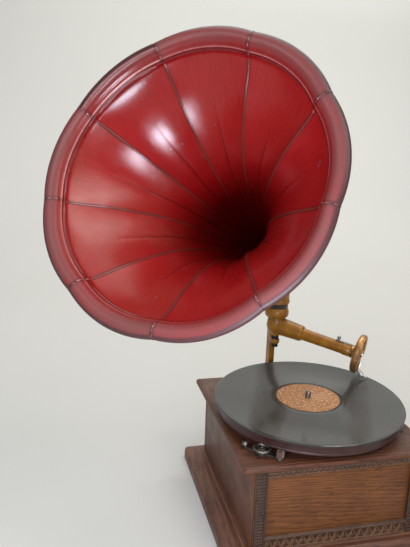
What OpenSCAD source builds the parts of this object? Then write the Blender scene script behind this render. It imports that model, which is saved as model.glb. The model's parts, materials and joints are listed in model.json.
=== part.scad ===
// Horn gramophone: wooden case with a spring motor, turntable and record, tonearm and nine-petal horn.
// Sizes are in millimetres and angles in degrees.
// The origin is on the turntable's axis, at the height of the plinth's underside.
// X points to the right, Y to the back and Z up. The carved front faces -Y.

/* [Case] */
// width of the plinth at the floor
plinth_w = 276; // [264:1:290]
// height of the plinth
plinth_h = 22; // [16:1:30]
// plan radius of the plinth's corners
plinth_corner_r = 14; // [4:1:16]
// width of the case walls, and twice the distance from the spindle to the front wall's face
case_w = 220; // [218:1:226]
// distance from the spindle to the back wall's face
case_rear = 127; // [124:1:127]
// height of the top of the walls
case_top = 129.5; // [129:0.5:130]
// thickness of the walls
wall_t = 11; // [9:0.5:11]
// width of the top board
board_w = 248; // [236:1:264]
// distance from the spindle to the top board's front edge
board_front = 116; // [115:1:124]
// distance from the spindle to the top board's back edge
board_rear = 141; // [134:1:142]
// thickness of the top board at its edge
board_t = 6.5; // [6:0.5:7]
// depth of the top board's rounded edge, and its corner radius
board_edge = 5; // [4:0.5:8]
// width of the carved stiles on the front
stile_w = 15.5; // [10:0.5:22]
// distance from the edge of the wall to a stile
stile_inset = 1; // [0.5:0.5:10]
// thickness of the carved strips
carving_t = 4; // [3:0.5:4]
// height of the bottom carved strip
tongue_h = 18.6; // [14:0.2:24]
// number of carved tongues
tongue_count = 17; // [11:1:23]
// height of the top carved strip
gadroon_h = 9.5; // [8:0.5:16]
// number of lobes on the top carved strip
gadroon_count = 27; // [15:1:35]
// spacing of the ridges on the stiles
ridge_pitch = 4; // [3:0.5:6]

/* [Turntable] */
// diameter of the record
record_d = 254; // [250:1:256]
// thickness of the record
record_t = 2.2; // [1.8:0.1:3]
// diameter of the record's paper label
label_d = 85; // [70:1:95]
// diameter of the platter
platter_d = 243; // [230:1:246]
// height of the platter's top face
platter_top = 158; // [155:0.5:160]
// depth of the platter's skirt
skirt_h = 13; // [8:0.5:14]
// thickness of the felt mat
mat_t = 1.2; // [1:0.1:2]
// diameter of the spindle
spindle_d = 7.2; // [7:0.05:7.25]
// height of the spindle's tip above the record
pin_h = 9; // [6:0.5:14]

/* [Brake and regulator] */
// distance of the regulator's axis to the left of the spindle
regulator_x = 93; // [92:0.5:95]
// distance of the regulator's axis in front of the spindle
regulator_y = 85; // [84:0.5:87]
// diameter of the regulator's dial
dial_d = 22; // [18:1:24]
// direction of the brake lever from the left
brake_angle = 42.5; // [40:0.5:45]
// distance of the brake pad from the regulator's axis
pad_reach = 23.3; // [22:0.1:24]

/* [Bracket and tonearm] */
// distance from the spindle to the axis of the tonearm and horn
pivot_y = 136; // [134:1:138]
// height of the underside of the bracket's ring
ring_z = 233.5; // [233:0.5:234]
// outer diameter of the bracket's ring
ring_d = 37; // [36:1:42]
// direction of the tonearm, to the front of +X
arm_azimuth = 39.8; // [38:0.1:41]
// downward slope of the tonearm
arm_slope = 9.4; // [8.5:0.1:10]
// height of the tonearm's axis at its pivot
arm_z = 219.4; // [218:0.1:221]
// distance along the arm to the end of the elbow casting
elbow_len = 44.5; // [38:0.5:50]
// distance along the arm to the end of the tube
tube_end = 120; // [118:0.5:121]
// diameter of the soundbox
soundbox_d = 58; // [54:1:60]
// distance along the arm to the soundbox's front face
face_t = 136.5; // [135:0.5:138]
// distance of the needle's tip along the arm
tip_t = 154.4; // [153:0.1:156]
// distance of the needle's tip below the arm's axis
tip_drop = 32.9; // [32:0.1:33.1]

/* [Horn] */
// number of petals
petals = 9; // [7:1:11]
// plane of the mouth to the crossing of the horn's axis with the pivot's axis
horn_len = 360; // [340:1:380]
// direction of the mouth, to the left of the front
horn_azimuth = 39.1; // [0:0.1:60]
// upward tilt of the horn's axis
horn_tilt = 24.8; // [20:0.1:30]
// height where the horn's axis crosses the pivot's axis
horn_z = 312; // [308:1:318]
// angle of the first seam
seam_angle = 33.9; // [0:0.1:40]
// thickness of the sheet
sheet_t = 1; // [0.8:0.1:1.4]
// width of the seam ribs
rib_w = 2.6; // [1.8:0.1:3.5]
// height of the seam ribs
rib_h = 1.3; // [0.8:0.1:2]
// facets across one petal
petal_facets = 6; // [4:2:8]
// radius of the horn's bend
bend_r = 60; // [58:1:62]
// outer radius of the bend
neck_r = 18.5; // [18:0.1:19]

/* [Motor] */
// top of the bottom plate
plate_z = 59; // [57:1:61]
// teeth of the barrel's great wheel
great_teeth = 72; // [72:12:72]
// teeth of the drive arbor's pinion
drive_pinion_teeth = 12; // [12:1:12]
// teeth of the drive wheel
drive_wheel_teeth = 60; // [60:1:60]
// teeth of the spindle's pinion
spindle_teeth = 15; // [15:1:15]
// teeth of the governor's worm wheel
worm_teeth = 48; // [48:1:48]
// starts of the governor's worm
worm_starts = 4; // [4:1:4]
// radius of the spring barrel
barrel_r = 34; // [30:1:34]
// radius of the crank's swing
crank_r = 75; // [60:1:80]

/* [Clearances] */
// radial clearance of a shaft in its bearing
running_gap = 0.05; // [0.02:0.01:0.1]
// clearance between a moving piece and the next one
free_gap = 0.3; // [0.3:0.05:0.5]
// clearance of a screw in its hole
screw_gap = 0.1; // [0.05:0.05:0.3]
// play between meshing teeth
backlash = 0.22; // [0.15:0.01:0.3]
// gap between neighbouring petals, under the ribs
seam_gap = 0.12; // [0.1:0.02:0.2]
// gap of a soldered joint in the horn's bend
solder_gap = 0.05; // [0.03:0.01:0.1]

/* [Hidden] */
$fa = 4;
$fs = 0.5;

board_z = case_top + board_t;
half = case_w / 2;
inner = half - wall_t;
inner_rear = case_rear - wall_t;
plinth_rear = case_rear + plinth_w / 2 - half;
lid_under = case_top - 5.5;
mat_z = platter_top + mat_t;
record_z = mat_z + record_t;
pin_top = record_z + pin_h;
spindle_r = spindle_d / 2;
stile_x = half - stile_inset - stile_w;
screw_r = 2;
board_screw_y = 66;
board_screw_x = half - wall_t / 2;

// motor layout in plan
great_module = 1;
drive_module = 0.8;
great_r = great_teeth * great_module / 2;
drive_gap_r = (great_teeth + drive_pinion_teeth) * great_module / 2;
spindle_gap_r = (drive_wheel_teeth + spindle_teeth) * drive_module / 2;
drive_x = spindle_gap_r * cos(45);
drive_y = spindle_gap_r * sin(45);
barrel_x = drive_x + drive_gap_r * cos(25);
barrel_y = drive_y + drive_gap_r * sin(25);
worm_r = 4;
worm_wheel_r = worm_teeth * drive_module / 2;
worm_x = worm_wheel_r + worm_r;
worm_z = 74.5;
worm_lead = worm_starts * PI * drive_module;
lead_angle = atan(worm_lead / (2 * PI * worm_r));
worm_phase = 0;
plate_t = 3;
top_plate_z = lid_under - plate_t;
plate_x = inner - 2;
pillar_at = [[-56, -40], [plate_x - 7, -58], [-54, 74], [plate_x - 7, 76]];
barrel_z = 66;
barrel_h = 24;
crank_z = 101;
crown_r = 18;
crown_teeth = 24;
winding_teeth = 12;
winding_module = 1.5;
winding_r = winding_teeth * winding_module / 2;
lever_x = -45;
lever_y = -55;
click_a = -28;
click_r = 19.5;
click_lift = 6;
click_x = barrel_x + click_r * cos(click_a);
click_y = barrel_y + click_r * sin(click_a);

// bracket and tonearm
bar_w = 9;
stub_r = 12.4;
spigot_r = 14.6;
ring_h = 15;
ferrule_z = ring_z + ring_h + 7.5;
stub_top = ferrule_z - 1;
eccentric_a = 218.6;
bend_angle = 90 - horn_tilt;
bend_z = horn_z - bend_r * tan(bend_angle / 2);
throat_at = bend_r * tan(bend_angle / 2);
flange_t = 1.6;

// the horn's section at a seam: radius, depth behind the mouth's plane, and outward bulge at mid petal
horn_section = [
  [158, 0, 3], [157.4, -2.8, 3], [154.5, -4.9, 3], [150.5, -5.7, 2.8], [146, -4.8, 2.6], [142.3, -2, 2.4],
  [140.2, 2.6, 2.3], [138.2, 8.2, 2.2], [136, 13, 2.2], [125, 24.5, 3.2], [110, 38, 4.2], [97, 52, 4.4],
  [84, 68, 4.2], [72.5, 84, 3.8], [62, 101, 3.4], [53.4, 120, 2.9], [46, 140, 2.4], [39.6, 162, 1.9],
  [34, 185, 1.5], [27, 220, 1.0], [22.5, 255, 0.7], [19.5, 290, 0.5],
  [18.3, horn_len - throat_at - flange_t - free_gap, 0.5]
];
section_last = len(horn_section) - 1;
pleat_from = 12;
pleat_depth = 1.1;

// half of a tooth's angle at radius r on an involute gear
function half_tooth(r, teeth, module_size) =
  let (pitch_r = teeth * module_size / 2)
  let (base_r = pitch_r * cos(20))
  let (a = r > base_r ? acos(base_r / r) : 0)
  90 / teeth + (tan(20) - tan(a)) * 180 / PI - 20 + a - backlash / (2 * pitch_r) * 180 / PI;

function polar(r, a) = [r * cos(a), r * sin(a)];

// outline of an involute gear with its first tooth at the angle start
function gear_outline(teeth, module_size, head, foot, start) =
  let (pitch_r = teeth * module_size / 2)
  let (steps = [pitch_r - foot, pitch_r, pitch_r + head])
  [for (i = [0:teeth - 1], k = [0:5])
    let (r = k < 3 ? steps[k] : steps[5 - k])
    let (side = k < 3 ? -1 : 1)
    polar(r, start + 360 * i / teeth + side * half_tooth(r, teeth, module_size))];

// outline of a flat spiral strip
function spiral_outline(r0, pitch, turns, strip, steps) =
  concat(
    [for (i = [0:turns * steps]) polar(r0 + pitch * i / steps, 360 * i / steps)],
    [for (i = [turns * steps:-1:0]) polar(r0 + strip + pitch * i / steps, 360 * i / steps)]
  );

// outline of a pointed leaf, w wide and h high, standing on the origin
function leaf_outline(w, h) =
  [for (i = [0:16])
    let (t = i / 16)
    let (s = i < 8 ? 1 : -1)
    let (v = i < 8 ? i / 8 : (16 - i) / 8)
    [s * w / 2 * sqrt(max(0, 1 - v)) * (0.55 + 0.9 * v * (1 - v) + 0.45 * (1 - v)), h * v]];

// unit normal of the horn's section towards its outside
function section_normal(i) =
  let (p = horn_section[max(0, i - 1)])
  let (q = horn_section[min(section_last, i + 1)])
  let (size = norm([q[0] - p[0], q[1] - p[1]]))
  [(q[1] - p[1]) / size, (p[0] - q[0]) / size];

// share of the bulge at the place u across a petal, with the pleat in its middle
function petal_bulge(u) = 4 * u * (1 - u);

// point of the horn's sheet on section i, at u across petal k, raised by h along the normal
function horn_point(i, k, u, h) =
  let (s = horn_section[i])
  let (n = section_normal(i))
  let (pleat = i >= pleat_from && u == 0.5 ? pleat_depth * min(1, (i - pleat_from + 1) / 4) * min(1, s[2]) : 0)
  let (bulge = s[2] * petal_bulge(u) - pleat)
  let (r = s[0] + bulge + n[0] * h)
  let (shift = u == 0 ? seam_gap / 2 : u == 1 ? -seam_gap / 2 : 0)
  let (a = seam_angle + 360 / petals * (k + u))
  [r * cos(a) - shift * sin(a), r * sin(a) + shift * cos(a), horn_len - s[1] - 0.3 * bulge - n[1] * h];

// place children on the tonearm: Z runs along the arm and X points down
module on_arm() {
  translate([0, pivot_y, arm_z])
    rotate([0, 0, -arm_azimuth])
      rotate([0, 90 + arm_slope, 0])
        children();
}

// place children in the horn's vertical plane, on the pivot's axis
module on_pivot() {
  translate([0, pivot_y, 0])
    rotate([0, 0, -horn_azimuth])
      children();
}

// place children on the horn: Z runs out of the mouth
module on_horn() {
  on_pivot()
    translate([0, 0, horn_z])
      rotate([90 - horn_tilt, 0, 0])
        children();
}

module block(x0, x1, y0, y1, z0, z1) {
  translate([x0, y0, z0])
    cube([x1 - x0, y1 - y0, z1 - z0]);
}

module pipe(r_out, r_in, z0, z1) {
  translate([0, 0, z0])
    difference() {
      cylinder(r = r_out, h = z1 - z0);
      translate([0, 0, -1])
        cylinder(r = r_in, h = z1 - z0 + 2);
    }
}

module bottom_board() {
  color("saddlebrown")
    block(-inner, inner, -inner, inner_rear, 0, 8);
}

// one mitred rail of the plinth from x0 to x1: p is the distance to its outer face, face to the wall's face
module plinth_rail(x0, x1, p, face) {
  r = plinth_corner_r;
  intersection() {
    translate([x0, 0, 0])
      rotate([90, 0, 90])
        linear_extrude(height = x1 - x0)
          polygon([
            [wall_t - face, 0], [-p, 0], [-p, 10], [-p + 1, 11.4], [-p + 4, 12.4], [-p + 8.5, 13.4],
            [-p + 12.5, 15.2], [-p + 15.5, 17.8], [-p + 17, 20], [-face - 4, 20],
            [-face - 4, plinth_h], [wall_t - face, plinth_h]
          ]);
    linear_extrude(height = plinth_h + 1)
      polygon([[x0 - 1, -p - 1], [x1 + 1, -p - 1], [x1 - 60, 60 - p], [x0 + 60, 60 - p]]);
    translate([0, 0, -1])
      linear_extrude(height = plinth_h + 2)
        union() {
          translate([x0, r - p])
            square([x1 - x0, 80]);
          translate([x0 + r, -p])
            square([x1 - x0 - 2 * r, 80]);
          for (x = [x0 + r, x1 - r])
            translate([x, r - p])
              circle(r = r);
        }
  }
}

module plinth_front() {
  p = plinth_w / 2;
  color("sienna")
    plinth_rail(-p, p, p, half);
}

module plinth_back() {
  p = plinth_w / 2;
  color("sienna")
    rotate([0, 0, 180])
      plinth_rail(-p, p, plinth_rear, case_rear);
}

module plinth_sides() {
  p = plinth_w / 2;
  color("sienna") {
    rotate([0, 0, -90])
      plinth_rail(-plinth_rear, p, p, half);
    rotate([0, 0, 90])
      plinth_rail(-p, plinth_rear, p, half);
  }
}

module screw_holes_down(places, depth) {
  for (p = places)
    translate([p[0], p[1], case_top - depth])
      cylinder(r = screw_r + screw_gap, h = depth + 1);
}

board_screw_at = [for (sx = [-1, 1], sy = [-1, 1]) [sx * board_screw_x, sy * board_screw_y]];

module case_front() {
  color("sienna")
    block(-half, half, -half, -inner, plinth_h, case_top);
}

module case_back() {
  color("sienna")
    difference() {
      block(-half, half, inner_rear, case_rear, plinth_h, case_top);
      bracket_screw_places(case_rear)
        translate([0, 0, -9.5])
          cylinder(r = screw_r + screw_gap, h = 12);
    }
}

module case_left() {
  color("sienna")
    difference() {
      block(-half, -inner, -inner, inner_rear, plinth_h, case_top);
      screw_holes_down(board_screw_at, 16.2);
    }
}

module case_right() {
  color("sienna")
    difference() {
      block(inner, half, -inner, inner_rear, plinth_h, case_top);
      screw_holes_down(board_screw_at, 16.2);
      translate([inner - 1, barrel_y, crank_z])
        rotate([0, 90, 0])
          cylinder(r = 6, h = wall_t + 2);
    }
}

// carved strip under the top board, with rounded lobes
module moulding_top() {
  z0 = case_top - gadroon_h;
  pitch = 2 * stile_x / gadroon_count;
  color("peru")
    union() {
      block(-stile_x, stile_x, -half - 1.6, -half, z0, case_top);
      block(-stile_x, stile_x, -half - carving_t, -half - 1.6, case_top - 2.4, case_top);
      block(-stile_x, stile_x, -half - carving_t + 1, -half - 1.6, z0, z0 + 1.6);
      for (i = [0:gadroon_count - 1])
        translate([-stile_x + pitch * (i + 0.5), -half - 1.2, z0 + 2.2])
          rotate([0, 0, 180])
            rotate_extrude(angle = 180)
              square([pitch * 0.4, gadroon_h - 5.2]);
    }
}

// carved strip over the plinth, with a row of pointed tongues under a bevelled rail
module moulding_bottom() {
  z1 = plinth_h + tongue_h;
  pitch = 2 * stile_x / tongue_count;
  color("peru")
    union() {
      translate([-stile_x, 0, 0])
        rotate([90, 0, 90])
          linear_extrude(height = 2 * stile_x)
            polygon([
              [-half, plinth_h], [-half - carving_t, plinth_h], [-half - carving_t, plinth_h + 1.6],
              [-half - 1.8, plinth_h + 2.2], [-half - 1.8, z1 - 4], [-half - carving_t, z1 - 3.4],
              [-half - carving_t, z1 - 2.2], [-half - 1, z1], [-half, z1]
            ]);
      for (i = [0:tongue_count - 1])
        translate([-stile_x + pitch * (i + 0.5), -half - 1.6, plinth_h + 2.6])
          rotate([90, 0, 0]) {
            difference() {
              linear_extrude(height = 1.4)
                polygon(leaf_outline(pitch * 0.94, 11.2));
              translate([0, 0.8, 0.6])
                linear_extrude(height = 1)
                  polygon(leaf_outline(pitch * 0.66, 8.2));
            }
            translate([0, 1.6, 0])
              linear_extrude(height = 1.6)
                polygon(leaf_outline(pitch * 0.36, 5));
          }
    }
}

// carved stile with a ladder of rounded ridges
module stile() {
  rows = floor((case_top - plinth_h) / ridge_pitch);
  union() {
    block(-stile_w / 2, stile_w / 2, -half - 2, -half, plinth_h, case_top);
    block(-stile_w / 2, 2.6 - stile_w / 2, -half - carving_t, -half - 2, plinth_h, case_top);
    block(stile_w / 2 - 2.6, stile_w / 2, -half - carving_t, -half - 2, plinth_h, case_top);
    for (i = [0:rows - 1])
      translate([2.6 - stile_w / 2, -half - 2, plinth_h + 1 + ridge_pitch * (i + 0.5)])
        rotate([0, 90, 0])
          cylinder(r = ridge_pitch * 0.4, h = stile_w - 5.2);
  }
}

module moulding_stiles() {
  color("peru")
    for (sx = [-1, 1])
      translate([sx * (stile_x + stile_w / 2), 0, 0])
        stile();
}

// section of the top board's edge, outward from its raised field
module board_section() {
  polygon([
    [0, case_top], [board_edge - 0.6, case_top], [board_edge, case_top + 0.8],
    [board_edge, board_z - 3.1], [board_edge - 0.5, board_z - 1.9], [board_edge - 1.6, board_z - 1.1],
    [board_edge - 3.2, board_z - 0.7], [0.6, board_z - 0.6], [0, board_z]
  ]);
}

// board with a rebated underside that drops between the walls and carries the motor
module top_board() {
  c = board_w / 2 - board_edge;
  cf = board_front - board_edge;
  cr = board_rear - board_edge;
  fit = inner - free_gap;
  color("saddlebrown")
    difference() {
      union() {
        block(-c, c, -cf, cr, case_top, board_z);
        block(-fit, fit, -fit, inner_rear - free_gap, lid_under, case_top + 1);
        for (s = [[c, cr, 0, cf + cr], [-c, cr, 90, 2 * c], [-c, -cf, 180, cf + cr], [c, -cf, 270, 2 * c]])
          translate([s[0], s[1], 0])
            rotate([0, 0, s[2]]) {
              rotate([90, 0, 0])
                linear_extrude(height = s[3])
                  board_section();
              rotate_extrude(angle = 90)
                board_section();
            }
      }
      for (p = board_screw_at)
        translate([p[0], p[1], 0]) {
          translate([0, 0, case_top - 1])
            cylinder(r = screw_r + screw_gap, h = board_t + 2);
          translate([0, 0, board_z - 2.2])
            cylinder(r1 = screw_r + screw_gap, r2 = 4.2, h = 2.2);
          translate([0, 0, board_z - 0.001])
            cylinder(r = 4.2, h = 1);
        }
      for (p = pillar_at)
        translate([p[0], p[1], lid_under - 1])
          cylinder(r = 2.5 + screw_gap, h = board_z - lid_under + 2);
      translate([0, 0, lid_under - 1])
        cylinder(r = 8, h = board_z - lid_under + 2);
      translate([-regulator_x, -regulator_y, lid_under - 1])
        cylinder(r = 2.5 + running_gap, h = board_z - lid_under + 2);
    }
}

// countersunk wood screws, slotted
module board_screws() {
  color("dimgray")
    for (p = board_screw_at)
      translate([p[0], p[1], 0])
        difference() {
          union() {
            translate([0, 0, case_top - 16])
              cylinder(r = screw_r, h = 15 + board_t);
            translate([0, 0, board_z - 2.1])
              cylinder(r1 = screw_r, r2 = 4, h = 2);
          }
          translate([0, 0, board_z])
            rotate([0, 0, 30])
              cube([10, 0.9, 1.8], center = true);
        }
}

// round-headed bolts that hang the motor from the top board
module motor_bolts() {
  color("silver")
    for (p = pillar_at)
      translate([p[0], p[1], 0])
        difference() {
          union() {
            translate([0, 0, top_plate_z - 8])
              cylinder(r = 2.5, h = board_z - top_plate_z + 8);
            translate([0, 0, board_z])
              cylinder(r1 = 5, r2 = 3.8, h = 2.4);
          }
          translate([0, 0, board_z + 2.4])
            cube([12, 1.1, 2], center = true);
        }
}

module motor_plate_blank(z) {
  difference() {
    block(-62, plate_x, -68, 84, z, z + plate_t);
    for (p = pillar_at)
      translate([p[0], p[1], z - 1])
        cylinder(r = 2.5 + screw_gap, h = plate_t + 2);
    translate([barrel_x, barrel_y, z - 1])
      cylinder(r = 4 + running_gap, h = plate_t + 2);
    translate([drive_x, drive_y, z - 1])
      cylinder(r = 2 + running_gap, h = plate_t + 2);
  }
}

module motor_top_plate() {
  color("gray")
    difference() {
      motor_plate_blank(top_plate_z);
      translate([0, 0, top_plate_z - 1])
        cylinder(r = spindle_r + running_gap, h = plate_t + 2);
    }
}

// bottom plate with the spindle's footstep, two bent-up governor bearings and two studs
module motor_bottom_plate() {
  color("gray")
    difference() {
      union() {
        motor_plate_blank(plate_z - plate_t);
        translate([0, 0, plate_z - 9])
          cylinder(r = 8, h = 9);
        for (y = [-60, 15])
          block(-worm_x - 6, -worm_x + 6, y, y + 3, plate_z - 1, worm_z + 6);
        translate([lever_x, lever_y, plate_z - 1])
          cylinder(r = 2, h = 77 - plate_z);
        translate([click_x, click_y, 50])
          cylinder(r = 2, h = plate_z - 51);
      }
      translate([0, 0, plate_z - 7])
        cylinder(r = spindle_r + running_gap, h = 8);
      translate([-worm_x, 20, worm_z])
        rotate([90, 0, 0])
          cylinder(r = 1.5 + running_gap, h = 84);
    }
}

module motor_pillars() {
  color("silver")
    for (p = pillar_at)
      translate([p[0], p[1], 0])
        difference() {
          translate([0, 0, plate_z])
            cylinder(r = 5, h = top_plate_z - plate_z);
          translate([0, 0, top_plate_z - 9])
            cylinder(r = 2.5 + screw_gap, h = 10);
        }
}

// spring drum, closed, with its great wheel
module spring_barrel() {
  color("goldenrod")
    translate([barrel_x, barrel_y, 0])
      difference() {
        union() {
          translate([0, 0, barrel_z - 4])
            linear_extrude(height = 4)
              polygon(gear_outline(great_teeth, great_module, 0.8, 1.2, 205));
          translate([0, 0, barrel_z])
            cylinder(r = barrel_r, h = barrel_h);
        }
        translate([0, 0, barrel_z])
          cylinder(r = barrel_r - 1.5, h = barrel_h - 1.5);
        translate([0, 0, barrel_z - 5])
          cylinder(r = 4 + running_gap, h = barrel_h + 6);
      }
}

// spiral mainspring inside the drum
module mainspring() {
  color("steelblue")
    translate([barrel_x, barrel_y, barrel_z + 1])
      linear_extrude(height = barrel_h - 3.5)
        polygon(spiral_outline(7, 2.4, 10, 0.9, 24));
}

// winding arbor with its crown wheel; the crown's teeth point down
module barrel_arbor() {
  pitch_z = crank_z + winding_r;
  color("silver")
    translate([barrel_x, barrel_y, 0])
      union() {
        translate([0, 0, 48])
          cylinder(r = 4, h = lid_under - 48.5);
        translate([0, 0, pitch_z + 1.8])
          cylinder(r = crown_r + 2.5, h = 3.2);
        translate([0, 0, pitch_z + 4.9])
          cylinder(r = 8, h = 4);
        for (i = [0:crown_teeth - 1])
          rotate([0, 0, 360 / crown_teeth * (i + 0.5)])
            translate([crown_r - 2, 0, 0])
              rotate([90, 0, 90])
                linear_extrude(height = 4)
                  polygon([
                    [-1.4, pitch_z + 2], [-0.4, pitch_z - 1.1],
                    [0.4, pitch_z - 1.1], [1.4, pitch_z + 2]
                  ]);
      }
}

module ratchet_wheel() {
  teeth = 16;
  color("gray")
    translate([barrel_x, barrel_y, 51])
      difference() {
        linear_extrude(height = 3)
          polygon([for (i = [0:teeth - 1], k = [0:1])
            polar(k == 0 ? 14 : 11.4, 360 * i / teeth + (k == 0 ? 0 : 0.6))]);
        translate([0, 0, -1])
          cylinder(r = 4 + running_gap, h = 5);
      }
}

// ratchet click, lifted on its stud so that the wheel's teeth pass under its nose
module ratchet_click() {
  color("silver")
    translate([click_x, click_y, 51])
      rotate([0, 0, click_lift])
        difference() {
          union() {
            translate([barrel_x - click_x, barrel_y - click_y, 0])
              linear_extrude(height = 3)
                polygon([
                  polar(12.5, -87), polar(14.9, -66), polar(click_r - 3.3, click_a - 4),
                  polar(click_r + 3.3, click_a - 4), polar(18.6, -62), polar(15.2, -86)
                ]);
            cylinder(r = 3.8, h = 3);
          }
          translate([0, 0, -1])
            cylinder(r = 2 + running_gap, h = 5);
        }
}

module drive_arbor() {
  color("silver")
    translate([drive_x, drive_y, 0])
      union() {
        translate([0, 0, plate_z - plate_t])
          cylinder(r = 2, h = lid_under - 0.5 - plate_z + plate_t);
        translate([0, 0, 60])
          linear_extrude(height = 6)
            polygon(gear_outline(drive_pinion_teeth, great_module, 0.85, 1.25, 25 + 15));
      }
}

module drive_wheel() {
  color("goldenrod")
    translate([drive_x, drive_y, 94])
      difference() {
        union() {
          linear_extrude(height = 3)
            polygon(gear_outline(drive_wheel_teeth, drive_module, 0.65, 1, 225));
          translate([0, 0, -3])
            cylinder(r = 5, h = 8);
        }
        translate([0, 0, -4])
          cylinder(r = 2 + running_gap, h = 10);
        for (a = [0:72:288])
          rotate([0, 0, a])
            translate([13.5, 0, -1])
              cylinder(r = 5, h = 5);
      }
}

// turntable spindle with its pinion and rounded tip
module spindle() {
  color("silver")
    union() {
      translate([0, 0, plate_z - 6.7])
        cylinder(r = spindle_r, h = pin_top - 1.5 - plate_z + 6.7);
      translate([0, 0, pin_top - 1.5])
        cylinder(r1 = spindle_r, r2 = spindle_r - 1.4, h = 1.5);
      translate([0, 0, 92])
        linear_extrude(height = 7)
          polygon(gear_outline(spindle_teeth, drive_module, 0.7, 1, 45 + 12));
    }
}

// worm wheel on the spindle, its slots set to the worm's lead
module worm_wheel() {
  color("burlywood")
    translate([0, 0, worm_z])
      difference() {
        union() {
          cylinder(r = worm_wheel_r + 0.6, h = 5, center = true);
          translate([0, 0, -5])
            cylinder(r = 7, h = 10);
        }
        translate([0, 0, -6])
          cylinder(r = spindle_r + running_gap, h = 12);
        for (i = [0:worm_teeth - 1])
          rotate([0, 0, 360 / worm_teeth * i])
            translate([-worm_wheel_r, 0, 0])
              rotate([lead_angle, 0, 0])
                linear_extrude(height = 9, center = true)
                  polygon([[-2, -1.0], [-2, 1.0], [-0.6, 0.95], [1.3, 0.5], [1.3, -0.5], [-0.6, -0.95]]);
      }
}

// governor shaft with a steep four-start worm
module governor_shaft() {
  h = 10;
  color("silver")
    translate([-worm_x, 0, worm_z])
      union() {
        translate([0, 18, 0])
          rotate([90, 0, 0])
            cylinder(r = 1.5, h = 78);
        translate([0, h / 2, 0])
          rotate([90, 0, 0])
            linear_extrude(height = h, twist = -360 * h / worm_lead, slices = 24)
              polygon([for (i = [0:15]) polar(worm_r - 0.1 + 0.7 * cos(worm_starts * 22.5 * i), 22.5 * i + worm_phase)]);
      }
}

module around_governor() {
  for (a = [90, 210, 330])
    translate([-worm_x, 0, worm_z])
      rotate([0, a, 0])
        children();
}

// three ball weights
module governor_weights() {
  color("goldenrod")
    around_governor()
      translate([10.8, -29, 0])
        sphere(r = 3.6, $fn = 32);
}

// three leaf springs, bowed out to the weights, on a fixed collar
module governor_springs() {
  color("steelblue")
    around_governor()
      translate([0, 0, -1.6])
        linear_extrude(height = 3.2)
          polygon([
            [2, -12], [5, -12], [5, -15], [7.2, -27], [7.2, -31], [5, -43], [5, -45],
            [4.4, -45], [4.4, -43], [6.6, -31], [6.6, -27], [4.4, -15], [2, -15]
          ]);
}

// sliding friction disc
module governor_disc() {
  color("silver")
    translate([-worm_x, -45.2, worm_z])
      rotate([90, 0, 0])
        difference() {
          union() {
            cylinder(r = 6, h = 3);
            translate([0, 0, 2])
              cylinder(r = 13, h = 1.6);
          }
          translate([0, 0, -1])
            cylinder(r = 1.5 + running_gap, h = 6);
        }
}

// lever that presses a leather pad on the friction disc
module speed_lever() {
  color("dimgray")
    translate([lever_x, lever_y, 0])
      difference() {
        union() {
          translate([0, 0, 69])
            cylinder(r = 4.5, h = 6);
          translate([0, 0, 70])
            rotate([0, 0, eccentric_a])
              translate([0, -2.5, 0])
                cube([60, 5, 4]);
          block(0, 9, -1.6, 1.6, 70, 74);
          block(8, 12, -1.6, 5.7, 70, 79);
        }
        translate([0, 0, 68])
          cylinder(r = 2 + running_gap, h = 8);
      }
}

// regulator shaft, ending above the lever in the eccentric that sets it
module regulator_shaft() {
  color("silver")
    translate([-regulator_x, -regulator_y, 0])
      union() {
        translate([0, 0, 74.3])
          cylinder(r = 2.5, h = board_z + 6 - 74.3);
        translate(concat(polar(2, eccentric_a), [69.5]))
          cylinder(r = 3.7, h = 5);
      }
}

// winding shaft with its pinion inside the case
module crank_shaft() {
  color("silver")
    translate([0, barrel_y, crank_z])
      rotate([0, 90, 0])
        union() {
          translate([0, 0, barrel_x + 12])
            cylinder(r = 4, h = 139 - barrel_x - 12);
          translate([0, 0, barrel_x + crown_r - 2.2])
            linear_extrude(height = 4.4)
              polygon(gear_outline(winding_teeth, winding_module, 1.25, 1.8, 180));
        }
}

module crank_arm() {
  color("silver")
    translate([0, barrel_y, crank_z])
      difference() {
        union() {
          translate([129, 0, 0])
            rotate([0, 90, 0])
              cylinder(r = 8, h = 14);
          block(137, 142, -4.5, 4.5, -crank_r, 0);
          translate([137, 0, -crank_r])
            rotate([0, 90, 0])
              cylinder(r = 6, h = 5);
          translate([141, 0, -crank_r])
            rotate([0, 90, 0])
              cylinder(r = 3, h = 39);
        }
        translate([128, 0, 0])
          rotate([0, 90, 0])
            cylinder(r = 4 + running_gap, h = 12);
      }
}

// turned wooden knob, free on its pin
module crank_knob() {
  color("saddlebrown")
    translate([142 + free_gap, barrel_y, crank_z - crank_r])
      rotate([0, 90, 0])
        rotate_extrude()
          polygon([
            [3 + running_gap, 0], [7, 0], [8, 1], [8, 3], [7.2, 5], [8.4, 9], [10.4, 15], [11.6, 21],
            [11.8, 26], [11, 31], [9, 34.4], [6, 36], [3 + running_gap, 36]
          ]);
}

module crank_escutcheon() {
  color("goldenrod")
    translate([half, barrel_y, crank_z])
      rotate([0, 90, 0])
        pipe(14, 4 + running_gap, 0, 2);
}

// pressed platter with a deep skirt and a hub
module platter() {
  r = platter_d / 2;
  color("maroon")
    rotate_extrude($fn = 180)
      polygon([
        [spindle_r + running_gap, platter_top - 9], [11, platter_top - 9], [13, platter_top - 2.2],
        [r - 3.6, platter_top - 2.2], [r - 2.4, platter_top - 3.4], [r - 2.4, platter_top - skirt_h],
        [r, platter_top - skirt_h], [r, platter_top - 1.6], [r - 1.6, platter_top],
        [spindle_r + running_gap, platter_top]
      ]);
}

module turntable_mat() {
  color("darkslategray")
    pipe(platter_d / 2 - 2, spindle_r + 1, platter_top, mat_z);
}

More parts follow.
